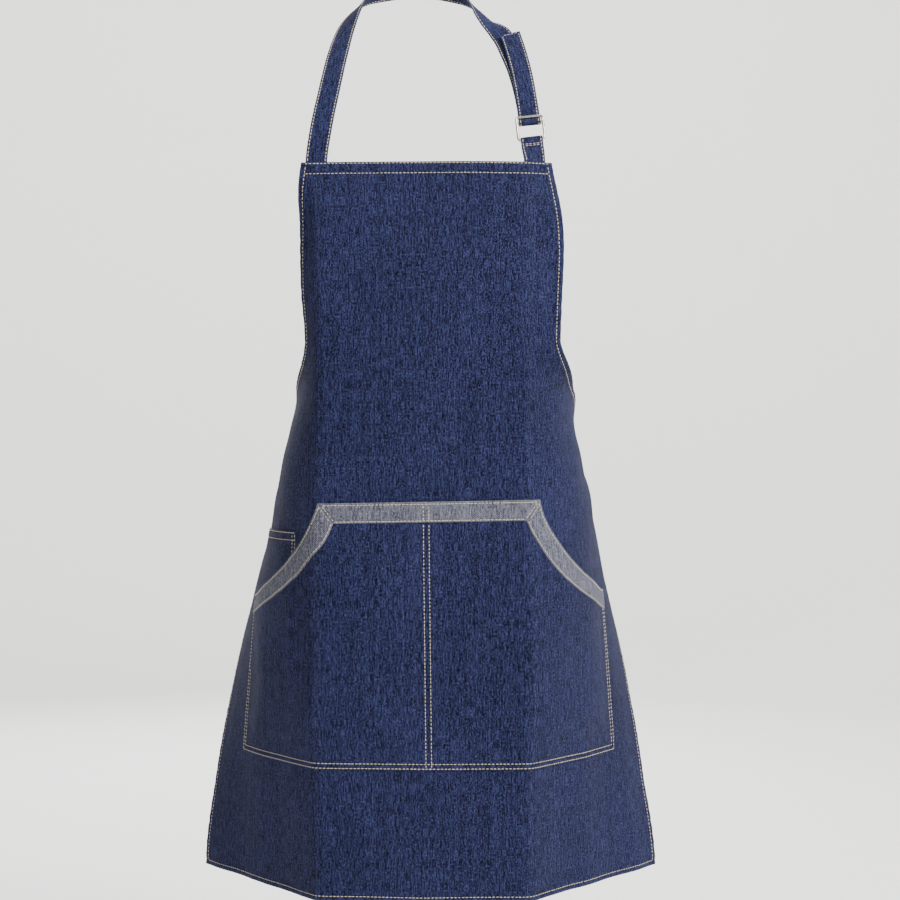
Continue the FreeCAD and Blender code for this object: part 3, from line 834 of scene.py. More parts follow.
def patch_relief(u, v):
    """The patch pocket's outer face above the panel's, with its rows' dents."""
    u, v = np.broadcast_arrays(np.asarray(u, float), np.asarray(v, float))
    inner, top = -u - PATCH_INNER, v - PATCH_TOP
    dents = sum(groove(top - row) for row in PATCH_TOP_ROWS)
    dents = dents + sum(groove(inner - row) for row in PATCH_SIDE_ROWS)
    hem = 0.0003 * (1 - ease(v, PATCH_TOP + 0.0095, PATCH_TOP + 0.011))
    return patch_base(u, v) + CLOTH + dents + pucker(top - 0.005, u) + hem


def make_patch():
    """The small patch pocket under the left hand opening."""
    fine = np.array([0.0, 0.0003, 0.0009, 0.0015, 0.0022, 0.004, 0.0068, 0.0075, 0.0082, 0.0095, 0.0105])
    beyond = np.linspace(PATCH_INNER + 0.014, PATCH_OUTER - 0.003, 30)
    columns = -np.concatenate([PATCH_INNER + fine, beyond, [PATCH_OUTER - 0.001, PATCH_OUTER]])
    rows = np.concatenate([PATCH_TOP + fine, np.linspace(PATCH_TOP + 0.014, PATCH_BOTTOM, 40)])
    u, v = np.meshgrid(columns, rows)
    edge = np.minimum(-u - PATCH_INNER, v - PATCH_TOP)
    fall = edge_round(edge, 0.0008)
    front = on_cloth(u, v, patch_relief(u, v) - fall)
    back = on_cloth(u, v, patch_base(u, v))
    worn = 0.8 * np.exp(-edge / 0.0014)
    flat = flat_line(u + 5.1, v + 0.7)
    return slab("side_patch_pocket_cloth", front, back, flat, worn, edge > 0.0)


def make_patch_stitches():
    """The patch's double rows along its top and down its inner side."""
    across = -np.linspace(PATCH_INNER + 0.002, PATCH_OUTER - 0.002, 90)
    lines = [flat_line(across, PATCH_TOP + row) for row in PATCH_TOP_ROWS]
    down = np.linspace(PATCH_TOP + 0.002, PATCH_BOTTOM - 0.002, 120)
    lines += [flat_line(-PATCH_INNER - row, down) for row in PATCH_SIDE_ROWS]
    return stitch_mesh("patch_topstitching", [(line, on_cloth, patch_relief) for line in lines], 24)


# ---------------------------------------------------------------- straps, buckle and ties


def worn_point(x, y, z):
    """A point measured from the middle of the bib's top edge, in the part's frame, in metres."""
    return np.array([x, y, z]) * MM - NAPE


def direction(*parts):
    """The parts as a vector of length 1."""
    return unit(np.array(parts, float))


strap_up = direction(*STRAP_LEAN)
buckle_front = unit(np.array([0.0, -1.0, 0.0]) + strap_up * strap_up[1])
buckle_across = np.cross(strap_up, buckle_front)
bar_depth = CAD_CLOTH + SEAM_ROOM + STRAP_CLOTH + LAYER_GAP / 2
behind_corner = bare_cloth(STRAP_RIGHT, 0.0) - cloth_normal(STRAP_RIGHT, 0.0) * bar_depth
lower_bar = behind_corner + strap_up * BUCKLE_RISE
upper_bar = lower_bar + strap_up * BUCKLE_HEIGHT
middle_bar = upper_bar - strap_up * MIDDLE_BAR_DROP
WRAP_RADIUS = WIRE / 2 + LAYER_GAP + STRAP_CLOTH / 2
LAYER = STRAP_CLOTH + LAYER_GAP


def at_buckle(up, front, bar=None):
    """A point by its distances in metres above the bar and in front of it."""
    return (lower_bar if bar is None else bar) + strap_up * up + buckle_front * front


def round_bar(bar, start, end, steps):
    """Strap stations round a bar, by the angle from straight up towards the front, in degrees."""
    stations = []
    for angle in np.radians(np.linspace(start, end, steps + 1)):
        outward = strap_up * math.cos(angle) + buckle_front * math.sin(angle)
        stations.append((bar + outward * WRAP_RADIUS, outward))
    return stations


def behind_bib(u, v, layers):
    """A strap station behind the bib, in the middle of the strap layer counted by layers."""
    depth = CAD_CLOTH + SEAM_ROOM + STRAP_CLOTH / 2 + layers * LAYER
    normal = cloth_normal(u, max(v, 0.002))
    return bare_cloth(u, v) - normal * depth, normal


# The neck strap's route: points in mm from the middle of the bib's top edge, and the way it faces
LOOP_LEFT = (
    ((-116, 24, 40), (0, -1, 0.3)),
    ((-109, 45, 85), (-0.05, -1, 0.5)),
    ((-102, 78, 132), (-0.15, -1, 0.8)),
    ((-94, 112, 171), (-0.5, -0.8, 1.0)),
    ((-83, 140, 199), (-1, -0.45, 0.9)),
    ((-68, 163, 218), (-1, 0.2, 0.5)),
    ((-44, 181, 229), (-0.6, 1, 0.15)),
    ((-15, 186.8, 232), (0, 1, 0.05)),
)
LOOP_RIGHT = (
    ((13, 180, 228), (0.6, 1, 0.15)),
    ((35, 164, 217), (1, 0.35, 0.5)),
    ((51, 144, 199), (1, -0.35, 0.9)),
    ((64, 124, 178), (0.7, -0.8, 1.0)),
)


def swept(start, shares):
    """Stations up from start, by the share of the tail's length, then back and inwards in mm."""
    stations = []
    for share, back, inward in shares:
        bow = np.array([-inward, back, -0.2 * back]) * MM
        stations.append((start + strap_up * (TAIL_LENGTH * share) + bow, buckle_front))
    return stations


def neck_strips():
    """The strap from the bib's left corner to the nape, and on round the buckle's bars to its tail."""
    stations = [behind_bib(STRAP_LEFT, STRAP_SEAM, 0), behind_bib(STRAP_LEFT, -0.002, 0)]
    stations += [(worn_point(*p), direction(*n)) for p, n in (*LOOP_LEFT, *LOOP_RIGHT)]
    top = at_buckle(0.0064, -WRAP_RADIUS - LAYER, upper_bar)
    shares = ((0.25, 1.2, 1.5), (0.5, 5.4, 5), (0.75, 12, 11), (1, 21, 19))
    stations += swept(top, shares)[::-1]
    crossing = math.degrees(math.asin(2 * WRAP_RADIUS / MIDDLE_BAR_DROP))
    for rise in (0.012, 0.004, 0.0):
        stations.append((at_buckle(rise, -WRAP_RADIUS - LAYER, upper_bar), buckle_front))
    stations += [(place, -normal) for place, normal in round_bar(middle_bar, 275, 90 - crossing, 12)]
    stations += [(place, normal) for place, normal in round_bar(upper_bar, 270 - crossing, 270, 2)]
    strap = Strip(stations, STRAP_WIDTH)
    nape = worn_point(*LOOP_LEFT[-1][0])
    return strap.stretch(strap.centre[0], nape), strap.stretch(nape, strap.centre[-1])


def tail_strip():
    """The strap's free end, up the front of the strap above the buckle."""
    start = at_buckle(0.0, -WRAP_RADIUS, upper_bar)
    rise = at_buckle(0.005, -WRAP_RADIUS, upper_bar)
    shares = ((0.05, 0, 0), (0.25, 0.8, 0.5), (0.5, 4, 2), (0.75, 9.5, 5), (1, 17, 9))
    return Strip([(start, buckle_front)] + swept(rise, shares), STRAP_WIDTH - TAIL_NARROWING)


def buckle_strap_strip():
    """The short strap sewn behind the bib's right corner and looped round the buckle's lower bar."""
    stations = [behind_bib(STRAP_RIGHT, v, 0) for v in (STRAP_SEAM, -0.002)]
    stations.append((at_buckle(-0.009, 0.0011), buckle_front))
    stations += round_bar(lower_bar, 100, -100, 8)
    stations.append((at_buckle(-0.009, -0.0011), -buckle_front))
    stations += [(p, -n) for p, n in (behind_bib(STRAP_RIGHT, v, 1) for v in (-0.002, STRAP_SEAM))]
    return Strip(stations, STRAP_WIDTH)


def waist_tie_strip(side):
    """One waist tie, from its seam inside the skirt's side corner round the back to the knot."""
    stations = []
    for inset in (TIE_SEAM, TIE_SEAM / 2, 0.0):
        u = side * (SKIRT_HALF - inset)
        normal = cloth_normal(u, TIE_LEVEL)
        depth = CAD_CLOTH + SEAM_ROOM + TIE_CLOTH / 2 + 0.0006
        lift = wrinkle(u, TIE_LEVEL) - depth
        stations.append((bare_cloth(u, TIE_LEVEL) + normal * lift, normal))
    edge = stations[-1][0]
    leave = unit(edge - stations[-2][0])
    end = knot_centre() + np.array([side * (KNOT_SIZE[0] / 2 - 0.002), TIE_DEPTH, 0.0])
    pull = edge + leave * (np.linalg.norm(end - edge) * 0.2)
    for t in np.linspace(0.125, 1.0, 8):
        point = bezier(edge, pull, end, t)
        tangent = (pull - edge) * (1 - t) + (end - pull) * t
        point = point + np.array([0.0, 0.0, -0.004]) * math.sin(math.pi * t)
        stations.append((point, unit(np.cross(tangent, -UP)) * side))
    return Strip(stations, TIE_WIDTH)


def knot_centre():
    """The middle of the bow's knot."""
    return worn_point(0.0, KNOT_BACK, -TIE_LEVEL / MM - KNOT_DROP)


def bow_strip(side):
    """One loop of the bow, out of the knot's side and back into it."""
    outward = np.array([side * math.cos(BOW_DROOP), 0.0, -math.sin(BOW_DROOP)])
    face = unit(np.cross(outward, np.array([0.0, 1.0, 0.0])))
    clear = KNOT_SIZE[0] / 2 - 0.003
    root = knot_centre() + np.array([side * clear, BOW_DEPTH, -0.002])
    half = [(0.0, 1.0), (0.12, 2.6), (0.3, 6.0), (0.55, 9.5), (0.8, 10.5), (0.95, 7.0)]
    outline = half + [(1.0, 0.0)] + [(out, -back) for out, back in reversed(half)]
    reach = BOW_LENGTH + 0.005
    sway = [np.array([0.0, back * MM + BOW_SPRING * out, 0.0]) for out, back in outline]
    points = [root + outward * (out * reach) + step for (out, _), step in zip(outline, sway)]
    stations = []
    for i, point in enumerate(points):
        tangent = points[min(i + 1, len(points) - 1)] - points[max(i - 1, 0)]
        stations.append((point, unit(np.cross(tangent, face))))
    return Strip(stations, BOW_WIDTH)


def tie_end_strip(side):
    """One free end of the bow, hanging from the knot."""
    root = knot_centre() + np.array([side * 0.0015, 0.002 * side, -KNOT_SIZE[2] / 2 + 0.004])
    route = [(0, 0, 0), (0.01, 0, 0.03), (0.05, 0.005, 0.15)]
    route += [(0.09, -0.008, 0.4), (0.12, 0.006, 0.7), (0.17, 0.02, 1.0)]
    stations = []
    for out, back, drop in route:
        step = np.array([side * out, back, -drop]) * (TIE_END_LENGTH + 0.003)
        turn = 0.5 * side * math.sin(drop * 3.0)
        stations.append((root + step, unit(np.array([turn * 0.4, 1.0, 0.0]))))
    return Strip(stations, TIE_WIDTH)


def deselect_all():
    """Selects nothing, so that an operator acts only on what it adds."""
    for other in bpy.context.view_layer.objects:
        other.select_set(False)


def make_knot():
    """The bow's knot: a rounded block pulled in where the ties enter it and wrapped by one turn."""
    deselect_all()
    bpy.ops.mesh.primitive_cube_add(size=1.0)
    piece = bpy.context.object
    piece.name = "tie_knot_cloth"
    bpy.ops.object.mode_set(mode="EDIT")
    bpy.ops.mesh.subdivide(number_cuts=9)
    bpy.ops.transform.tosphere(value=0.62)
    bpy.ops.object.mode_set(mode="OBJECT")
    centre = knot_centre()
    for vertex in piece.data.vertices:
        x, y, z = vertex.co
        fold = 0.055 * math.sin(13.0 * x + 2.2 * z) * (0.4 + abs(y))
        waist = 1.0 - 0.16 * math.exp(-((z / 0.22) ** 2))
        vertex.co = (
            centre[0] + x * KNOT_SIZE[0] * 1.06 * (waist + fold * 0.4),
            centre[1] + y * KNOT_SIZE[1] * 1.10 * (1.0 + fold * 1.2),
            centre[2] + z * KNOT_SIZE[2] * 1.08 * (1.0 + 0.10 * math.sin(7.0 * x + 1.0)),
        )
    layer = piece.data.uv_layers.active
    layer.name = "cloth"
    for loop in piece.data.loops:
        co = piece.data.vertices[loop.vertex_index].co
        layer.data[loop.index].uv = (co.x + 0.4 * co.y, co.z)
    piece.data.shade_smooth()
    return piece


def make_buckle():
    """The metal ring of round wire and its middle bar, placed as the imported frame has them."""
    deselect_all()
    bpy.ops.mesh.primitive_plane_add(size=1.0)
    ring = bpy.context.object
    ring.name = "buckle_ring"
    bpy.ops.object.mode_set(mode="EDIT")
    bpy.ops.transform.resize(value=(BUCKLE_WIDTH, BUCKLE_HEIGHT, 1.0))
    bpy.ops.mesh.bevel(offset=BUCKLE_CORNER, segments=8, affect="VERTICES")
    bpy.ops.mesh.delete(type="ONLY_FACE")
    bpy.ops.object.mode_set(mode="OBJECT")
    bpy.ops.object.convert(target="CURVE")
    ring.data.bevel_depth = WIRE / 2
    ring.data.bevel_resolution = 6
    bpy.ops.object.convert(target="MESH")
    bpy.ops.mesh.primitive_cylinder_add(
        vertices=28,
        radius=WIRE / 2 * 0.94,
        depth=BUCKLE_WIDTH - 0.0006,
        rotation=(0.0, math.pi / 2, 0.0),
        location=(0.0, BUCKLE_HEIGHT / 2 - MIDDLE_BAR_DROP, 0.0),
    )
    bpy.ops.object.transform_apply(location=True, rotation=True, scale=True)
    bpy.context.view_layer.objects.active = ring
    ring.select_set(True)
    bpy.ops.object.join()
    centre = (lower_bar + upper_bar) / 2
    basis = np.stack([buckle_across, strap_up, -buckle_front], axis=1)
    points = np.array([v.co for v in ring.data.vertices]) @ basis.T + centre
    ring.data.vertices.foreach_set("co", points.astype(np.float32).ravel())
    ring.data.update()
    bpy.ops.object.mode_set(mode="EDIT")
    bpy.ops.mesh.select_all(action="SELECT")
    bpy.ops.mesh.remove_doubles(threshold=0.00002)
    bpy.ops.mesh.normals_make_consistent(inside=False)
    bpy.ops.object.mode_set(mode="OBJECT")
    ring.data.shade_smooth()
    return ring


# ---------------------------------------------------------------- materials


class Value:
    """A shader socket that Python's arithmetic works on: each operation adds its Math node."""

    def __init__(self, finish, socket):
        self.finish = finish
        self.socket = socket

    def math(self, operation, *others, **settings):
        inputs = dict(enumerate([self, *others]))
        return self.finish.node("ShaderNodeMath", {"operation": operation, **settings}, inputs)

    def __add__(self, other):
        return self.math("ADD", other)

    __radd__ = __add__

    def __sub__(self, other):
        return self.math("SUBTRACT", other)

    def __rsub__(self, other):
        return self.finish.node("ShaderNodeMath", {"operation": "SUBTRACT"}, {0: other, 1: self})

    def __mul__(self, other):
        return self.math("MULTIPLY", other)

    __rmul__ = __mul__

    def clamp(self):
        """The value kept from 0 to 1."""
        return self.math("ADD", 0.0, use_clamp=True)


class Finish:
    """One material and its nodes."""

    def __init__(self, name):
        self.material = bpy.data.materials.new(name)
        self.material.use_nodes = True
        self.tree = self.material.node_tree
        self.shader = self.tree.nodes["Principled BSDF"]

    def node(self, kind, settings=None, inputs=None, output=0):
        """A node of this kind, with its settings made first and then its sockets' values or links."""
        made = self.tree.nodes.new(kind)
        for key, value in (settings or {}).items():
            setattr(made, key, value)
        for key, value in (inputs or {}).items():
            self.feed(made.inputs[key], value)
        return Value(self, made.outputs[output])

    def feed(self, socket, value):
        """Links a Value to the socket, or sets the number or colour on it."""
        if isinstance(value, Value):
            self.tree.links.new(value.socket, socket)
        else:
            socket.default_value = value

    def set(self, **inputs):
        """Feeds the shader's own sockets, named with _ for a space."""
        for key, value in inputs.items():
            self.feed(self.shader.inputs[key.replace("_", " ")], value)
        return self

    def noise(self, vector, stretch, detail=2.0, rough=0.5):
        """Noise from 0 to 1 on the vector, with stretch features to the metre each way."""
        scaled = self.node("ShaderNodeVectorMath", {"operation": "MULTIPLY"}, {0: vector, 1: stretch})
        inputs = {"Vector": scaled, "Scale": 1.0, "Detail": detail, "Roughness": rough}
        return self.node("ShaderNodeTexNoise", {"noise_dimensions": "3D"}, inputs)

    def mix(self, factor, first, second):
        """A colour between two others."""
        settings = {"data_type": "RGBA", "clamp_factor": True}
        return self.node("ShaderNodeMix", settings, {0: factor, 6: first, 7: second}, output=2)

    def bump(self, height, distance, strength=1.0):
        """A normal from a height from 0 to 1."""
        inputs = {"Height": height, "Distance": distance, "Strength": strength}
        return self.node("ShaderNodeBump", {}, inputs)


def colour(values):
    """An opaque colour from its three linear parts."""
    return (*list(values)[:3], 1.0)


def denim(name, deep, light, worn, pale=0.0):
    """Twill-woven denim: diagonal wales, uneven yarns down the cloth, pale flecks, worn edges and a
    painted highlight along the creases.
    """
    finish = Finish(name)
    cloth = finish.node("ShaderNodeUVMap", {"uv_map": "cloth"})
    u = finish.node("ShaderNodeSeparateXYZ", {}, {0: cloth}, output=0)
    v = finish.node("ShaderNodeSeparateXYZ", {}, {0: cloth}, output=1)
    weave = bpy.context.scene.apron_weave
    drift = finish.noise(cloth, (260.0, 90.0, 1.0), 1.0) * 0.5
    wale = ((u * 0.8 + v * 0.6) * (2 * math.pi / weave.wale) + drift * 4.0).math("SINE") * 0.5 + 0.5
    slub = finish.noise(cloth, (760.0, 85.0, 1.0), 2.0, 0.62)
    streak = finish.noise(cloth, (230.0, 9.0, 1.0), 2.0, 0.5)
    weft = finish.noise(cloth, (60.0, 900.0, 1.0), 1.0)
    grain = finish.noise(cloth, (620.0, 420.0, 1.0), 2.0, 0.8)
    cloud = finish.noise(cloth, (9.0, 6.0, 1.0), 2.0)
    fleck = ((grain - 0.56) * 6.0).clamp()
    tone = (slub - 0.5) * 2.2 + (streak - 0.5) * 0.55 + (weft - 0.5) * 0.3 + (cloud - 0.5) * 0.3
    tone = tone + (grain - 0.5) * 2.4 + (wale - 0.5) * (0.30 + pale * 0.7) + 0.36
    base = finish.mix(tone.clamp(), colour(deep), colour(light))
    base = finish.mix(fleck * 0.28, base, colour(worn))
    # The attribute brings wear at folded edges and a painted highlight along the creases, both mixed
    # towards the pale worn tone.
    wear_and_highlight = finish.node("ShaderNodeAttribute", {"attribute_name": "wear_and_highlight"}, output=2)
    wear_and_crease_highlight = (wear_and_highlight * (0.25 + 0.9 * grain) * (0.4 + 0.6 * wale)).clamp()
    base = finish.mix(wear_and_crease_highlight * weave.wear_and_highlight, base, colour(worn))
    height = wale * 0.55 + slub * 0.5 + grain * 0.35
    finish.set(
        Base_Color=base,
        Roughness=(0.86 - 0.12 * wale).clamp(),
        Specular_IOR_Level=0.07,
        Sheen_Weight=0.02,
        Sheen_Roughness=0.45,
        Normal=finish.bump(height, 0.00030, 0.55),
    )
    return finish.material


def thread(name, shade):
    """Twisted cotton sewing thread, a little uneven in colour."""
    finish = Finish(name)
    where = finish.node("ShaderNodeTexCoord", {}, output=3)
    uneven = finish.noise(where, (210.0, 210.0, 210.0), 2.0)
    twist = finish.noise(where, (2600.0, 2600.0, 2600.0), 1.0)
    dark = colour([part * 0.62 for part in shade])
    base = finish.mix((uneven * 0.8 + twist * 0.5 - 0.15).clamp(), dark, colour(shade))
    finish.set(Base_Color=base, Roughness=(0.6 + 0.2 * twist).clamp(), Sheen_Weight=0.15)
    finish.set(Normal=finish.bump(twist, 0.0001, 0.5))
    return finish.material


def nickel(name, shade):
    """Polished nickel wire with a faint tarnish and fine scratches."""
    finish = Finish(name)
    where = finish.node("ShaderNodeTexCoord", {}, output=3)
    tarnish = finish.noise(where, (260.0, 260.0, 260.0), 3.0)
    scratch = finish.noise(where, (3000.0, 500.0, 900.0), 2.0)
    dull = colour([shade[0] * 0.74, shade[1] * 0.68, shade[2] * 0.60])
    base = finish.mix(((tarnish - 0.42) * 3.0).clamp(), colour(shade), dull)
    rough = (0.16 + 0.22 * tarnish + 0.06 * scratch).clamp()
    finish.set(Base_Color=base, Metallic=1.0, Roughness=rough)
    finish.set(Normal=finish.bump(scratch, 0.00004, 0.35))
    return finish.material


def studio(name, shade):
    """A plain matt surface with a barely uneven tone."""
    finish = Finish(name)
    where = finish.node("ShaderNodeTexCoord", {}, output=3)
    uneven = finish.noise(where, (1.3, 1.3, 1.3), 2.0)
    dark = colour([part * 0.985 for part in shade])
    base = finish.mix(uneven, dark, colour(shade))
    finish.set(Base_Color=base, Roughness=0.95, Specular_IOR_Level=0.1)
    return finish.material


def material(kind):
    """The apron's material of this kind, made once from the panel's colours."""
    found = bpy.data.materials.get(kind)
    if found:
        return found
    shades = bpy.context.scene.apron_colours
    if kind == "denim_outer":
        return denim(kind, shades.deep, shades.light, shades.worn)
    if kind == "denim_inner":
        return denim(kind, shades.reverse_deep, shades.reverse_light, shades.reverse_worn, pale=1.0)
    if kind == "seam_thread":
        return thread(kind, shades.thread)
    if kind == "buckle_nickel":
        return nickel(kind, shades.metal)
    return studio(kind, shades.studio)


def dress(piece, kind, body=None, reverse=None):
    """Gives a finished piece its materials and the body it moves with."""
    for face in filter(None, (kind, reverse)):
        piece.data.materials.append(material(face))
    if body:
        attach(piece, body)
    return piece


def sew(rows, body=None):
    """Gives a piece of topstitching its thread, slot and body."""
    return dress(rows, "seam_thread", body)


# ---------------------------------------------------------------- the apron's own settings


def length_property(name, description, default):
    """A length that the user can change."""
    return bpy.props.FloatProperty(name=name, description=description, default=default, unit="LENGTH")


class ApronSewing(bpy.types.PropertyGroup):
    """Sizes of the topstitching."""

    stitch_length: length_property("Stitch", "Length of the thread that shows in one stitch", 0.0034)
    stitch_pitch: length_property("Pitch", "Distance from one stitch to the next", 0.0041)
    thread_thickness: length_property("Thread", "Thickness of the topstitching thread", 0.00086)


class ApronWeave(bpy.types.PropertyGroup):
    """The denim's weave, its wear and the painted highlight along its creases."""

    wale: length_property("Wale", "Distance between the twill's diagonal ribs", 0.0015)
    # How strongly the worn edges and the painted highlight along the creases are mixed in.
    wear_and_highlight: bpy.props.FloatProperty(
        name="Wear", description="How far folded edges are rubbed pale", default=0.55, subtype="FACTOR"
    )


def shade_property(name, description, default):
    """A linear colour that the user can change."""
    return bpy.props.FloatVectorProperty(
        name=name, description=description, default=default, subtype="COLOR", min=0.0, max=1.0
    )


class ApronColours(bpy.types.PropertyGroup):
    """Colours of the cloth, thread, metal and studio."""

    deep: shade_property("Deep indigo", "The warp's darkest blue", (0.0009, 0.0013, 0.0075))
    light: shade_property("Light indigo", "Where the pale weft shows through", (0.0275, 0.0325, 0.0980))
    # The pale tone of worn edges and flecks, and also the colour of the painted highlight along the
    # creases.
    worn: shade_property("Worn edge", "Rubbed denim at folds", (0.070, 0.085, 0.150))
    reverse_deep: shade_property("Reverse, deep", "The wrong side's darker yarns", (0.009, 0.011, 0.022))
    reverse_light: shade_property("Reverse, light", "The wrong side's pale yarns", (0.175, 0.180, 0.225))
    reverse_worn: shade_property("Reverse, worn", "Rubbed wrong side", (0.21, 0.21, 0.24))
    thread: shade_property("Thread", "Cream topstitching", (0.53, 0.46, 0.29))
    metal: shade_property("Buckle", "Warm nickel", (0.54, 0.51, 0.46))
    studio: shade_property("Studio", "Floor and backdrop", (0.90, 0.895, 0.885))


# ---------------------------------------------------------------- operators


class ApronPanelOperator(bpy.types.Operator):
    """Adds the apron's one large cloth and its topstitching"""

    bl_idname = "apron.panel"
    bl_label = "Main panel"

    def execute(self, context):
        cloth = dress(make_panel(), "denim_outer", "apron", "denim_inner")
        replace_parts(cloth, "main_panel")
        rows = sew(make_panel_stitches(), "apron")
        return {"FINISHED"}


class ApronPatchOperator(bpy.types.Operator):
    """Adds the small patch pocket under the left hand opening"""

    bl_idname = "apron.patch_pocket"
    bl_label = "Side patch pocket"

    def execute(self, context):
        cloth = dress(make_patch(), "denim_outer", "apron", "denim_inner")
        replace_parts(cloth, "side_patch_pocket")
        rows = sew(make_patch_stitches(), "apron")
        return {"FINISHED"}


class ApronPocketOperator(bpy.types.Operator):
    """Adds the kangaroo pocket, its three bands and their topstitching"""

    bl_idname = "apron.pocket"
    bl_label = "Kangaroo pocket"

    def execute(self, context):
        cloth = dress(make_pocket(), "denim_outer", "apron", "denim_inner")
        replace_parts(cloth, "pocket_panel")
        rows = [sew(make_pocket_stitches(), "apron")]
        bands = [
            (make_top_band(), "pocket_band_top"),
            (make_curved_band(-1.0, "pocket_band_left_cloth"), "pocket_band_left"),
            (make_curved_band(1.0, "pocket_band_right_cloth"), "pocket_band_right"),
        ]
        for band, node in bands:
            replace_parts(dress(band, "denim_inner", "apron"), node)
            rows.append(band)
        rows.append(sew(make_band_stitches(), "apron"))
        u = np.linspace(-POCKET_HALF, POCKET_HALF, 2001)
        area = float((POCKET_BOTTOM - opening_v(u)).mean() * 2 * POCKET_HALF)
        return {"FINISHED"}


class ApronStrapOperator(bpy.types.Operator):
    """Adds the neck strap: the loop, the stretch down to the buckle and the tail"""

    bl_idname = "apron.neck_strap"
    bl_label = "Neck strap"

    def execute(self, context):
        left, right = neck_strips()
        piece = strap_piece("neck_strap_left", left, STRAP_CLOTH, 2.0, square=(False, True))
        dress(piece, "denim_outer", "apron")
        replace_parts(piece, "neck_strap")
        rows = strap_rows(left, STRAP_CLOTH, 2.0, ends=(0.002, 0.0004))
        sew(stitch_mesh("neck_strap_left_stitching", rows, 31), "apron")

        bend_end = at_buckle(0.009, -WRAP_RADIUS - LAYER, upper_bar)
        piece = strap_piece("neck_strap_right", right, STRAP_CLOTH, 3.0, square=(True, True))
        dress(piece, "denim_outer")
        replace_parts(piece, "strap_fold")
        rows = strap_rows(right, STRAP_CLOTH, 3.0, ends=(0.0004, 0.002))
        sewn = sew(stitch_mesh("neck_strap_right_stitching", rows, 32))
        for part in (piece, sewn):
            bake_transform(part)

        tail = tail_strip()
        piece = strap_piece("strap_tail_cloth", tail, STRAP_CLOTH, 4.0, square=(True, False))
        dress(piece, "denim_outer")
        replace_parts(piece, "strap_tail")
        rows = strap_rows(tail, STRAP_CLOTH, 4.0, ends=(0.0005, 0.0025))
        relief = strap_relief(tail, 4.0)
        end = flat_line(np.linspace(-0.0085, 0.0085, 30), tail.length - 0.0024)
        rows.append((end, tail.place, lambda a, b: STRAP_CLOTH / 2 + relief(a, b)))
        sewn = sew(stitch_mesh("strap_tail_stitching", rows, 33))
        for part in (piece, sewn):
            at_buckle(0.024, 0.0, upper_bar)
            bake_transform(part)
        return {"FINISHED"}


class ApronBuckleOperator(bpy.types.Operator):
    """Adds the buckle and the short strap that holds it"""

    bl_idname = "apron.buckle"
    bl_label = "Buckle"

    def execute(self, context):
        ring = dress(make_buckle(), "buckle_nickel", "buckle")
        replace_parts(ring, "buckle_frame")
        strip = buckle_strap_strip()
        piece = strap_piece("buckle_strap_cloth", strip, STRAP_CLOTH, 5.0)
        dress(piece, "denim_outer", "apron")
        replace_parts(piece, "buckle_strap")
        rows = strap_rows(strip, STRAP_CLOTH, 5.0, ends=(0.0035, 0.0035), faces=(1,))
        relief = strap_relief(strip, 5.0)
        gaps = np.linalg.norm(strip.centre - at_buckle(-0.0072, 0.0011), axis=1)
        tack = strip.along[np.argmin(gaps)]
        for step in (-0.0010, 0.0010):
            line = flat_line(np.linspace(-0.0095, 0.0095, 30), tack + step)
            rows.append((line, strip.place, lambda a, b: STRAP_CLOTH / 2 + relief(a, b)))
        sew(stitch_mesh("buckle_strap_stitching", rows, 34), "apron")
        return {"FINISHED"}


class ApronTiesOperator(bpy.types.Operator):
    """Adds the waist ties, their knot, the bow's loops and the free ends"""

    bl_idname = "apron.waist_ties"
    bl_label = "Waist ties"

    def execute(self, context):
        rows = []
        for side, hand in ((-1.0, "left"), (1.0, "right")):
            kinds = (
                ("waist_tie", waist_tie_strip(side), "stretched"),
                ("bow_loop", bow_strip(side), "folded"),
                ("tie_end", tie_end_strip(side), "hung"),
            )
            for order, (kind, strip, held) in enumerate(kinds):
                seed = 6.0 + order + (side > 0) * 3
                node = kind + "_" + hand
                piece = strap_piece(node + "_cloth", strip, TIE_CLOTH, seed)
                dress(piece, "denim_outer", "apron")
                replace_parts(piece, node)
                rows += strap_rows(strip, TIE_CLOTH, seed)
        sew(stitch_mesh("waist_tie_stitching", rows, 35), "apron")
        knot = dress(make_knot(), "denim_outer", "apron")
        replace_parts(knot, "tie_knot")
        return {"FINISHED"}


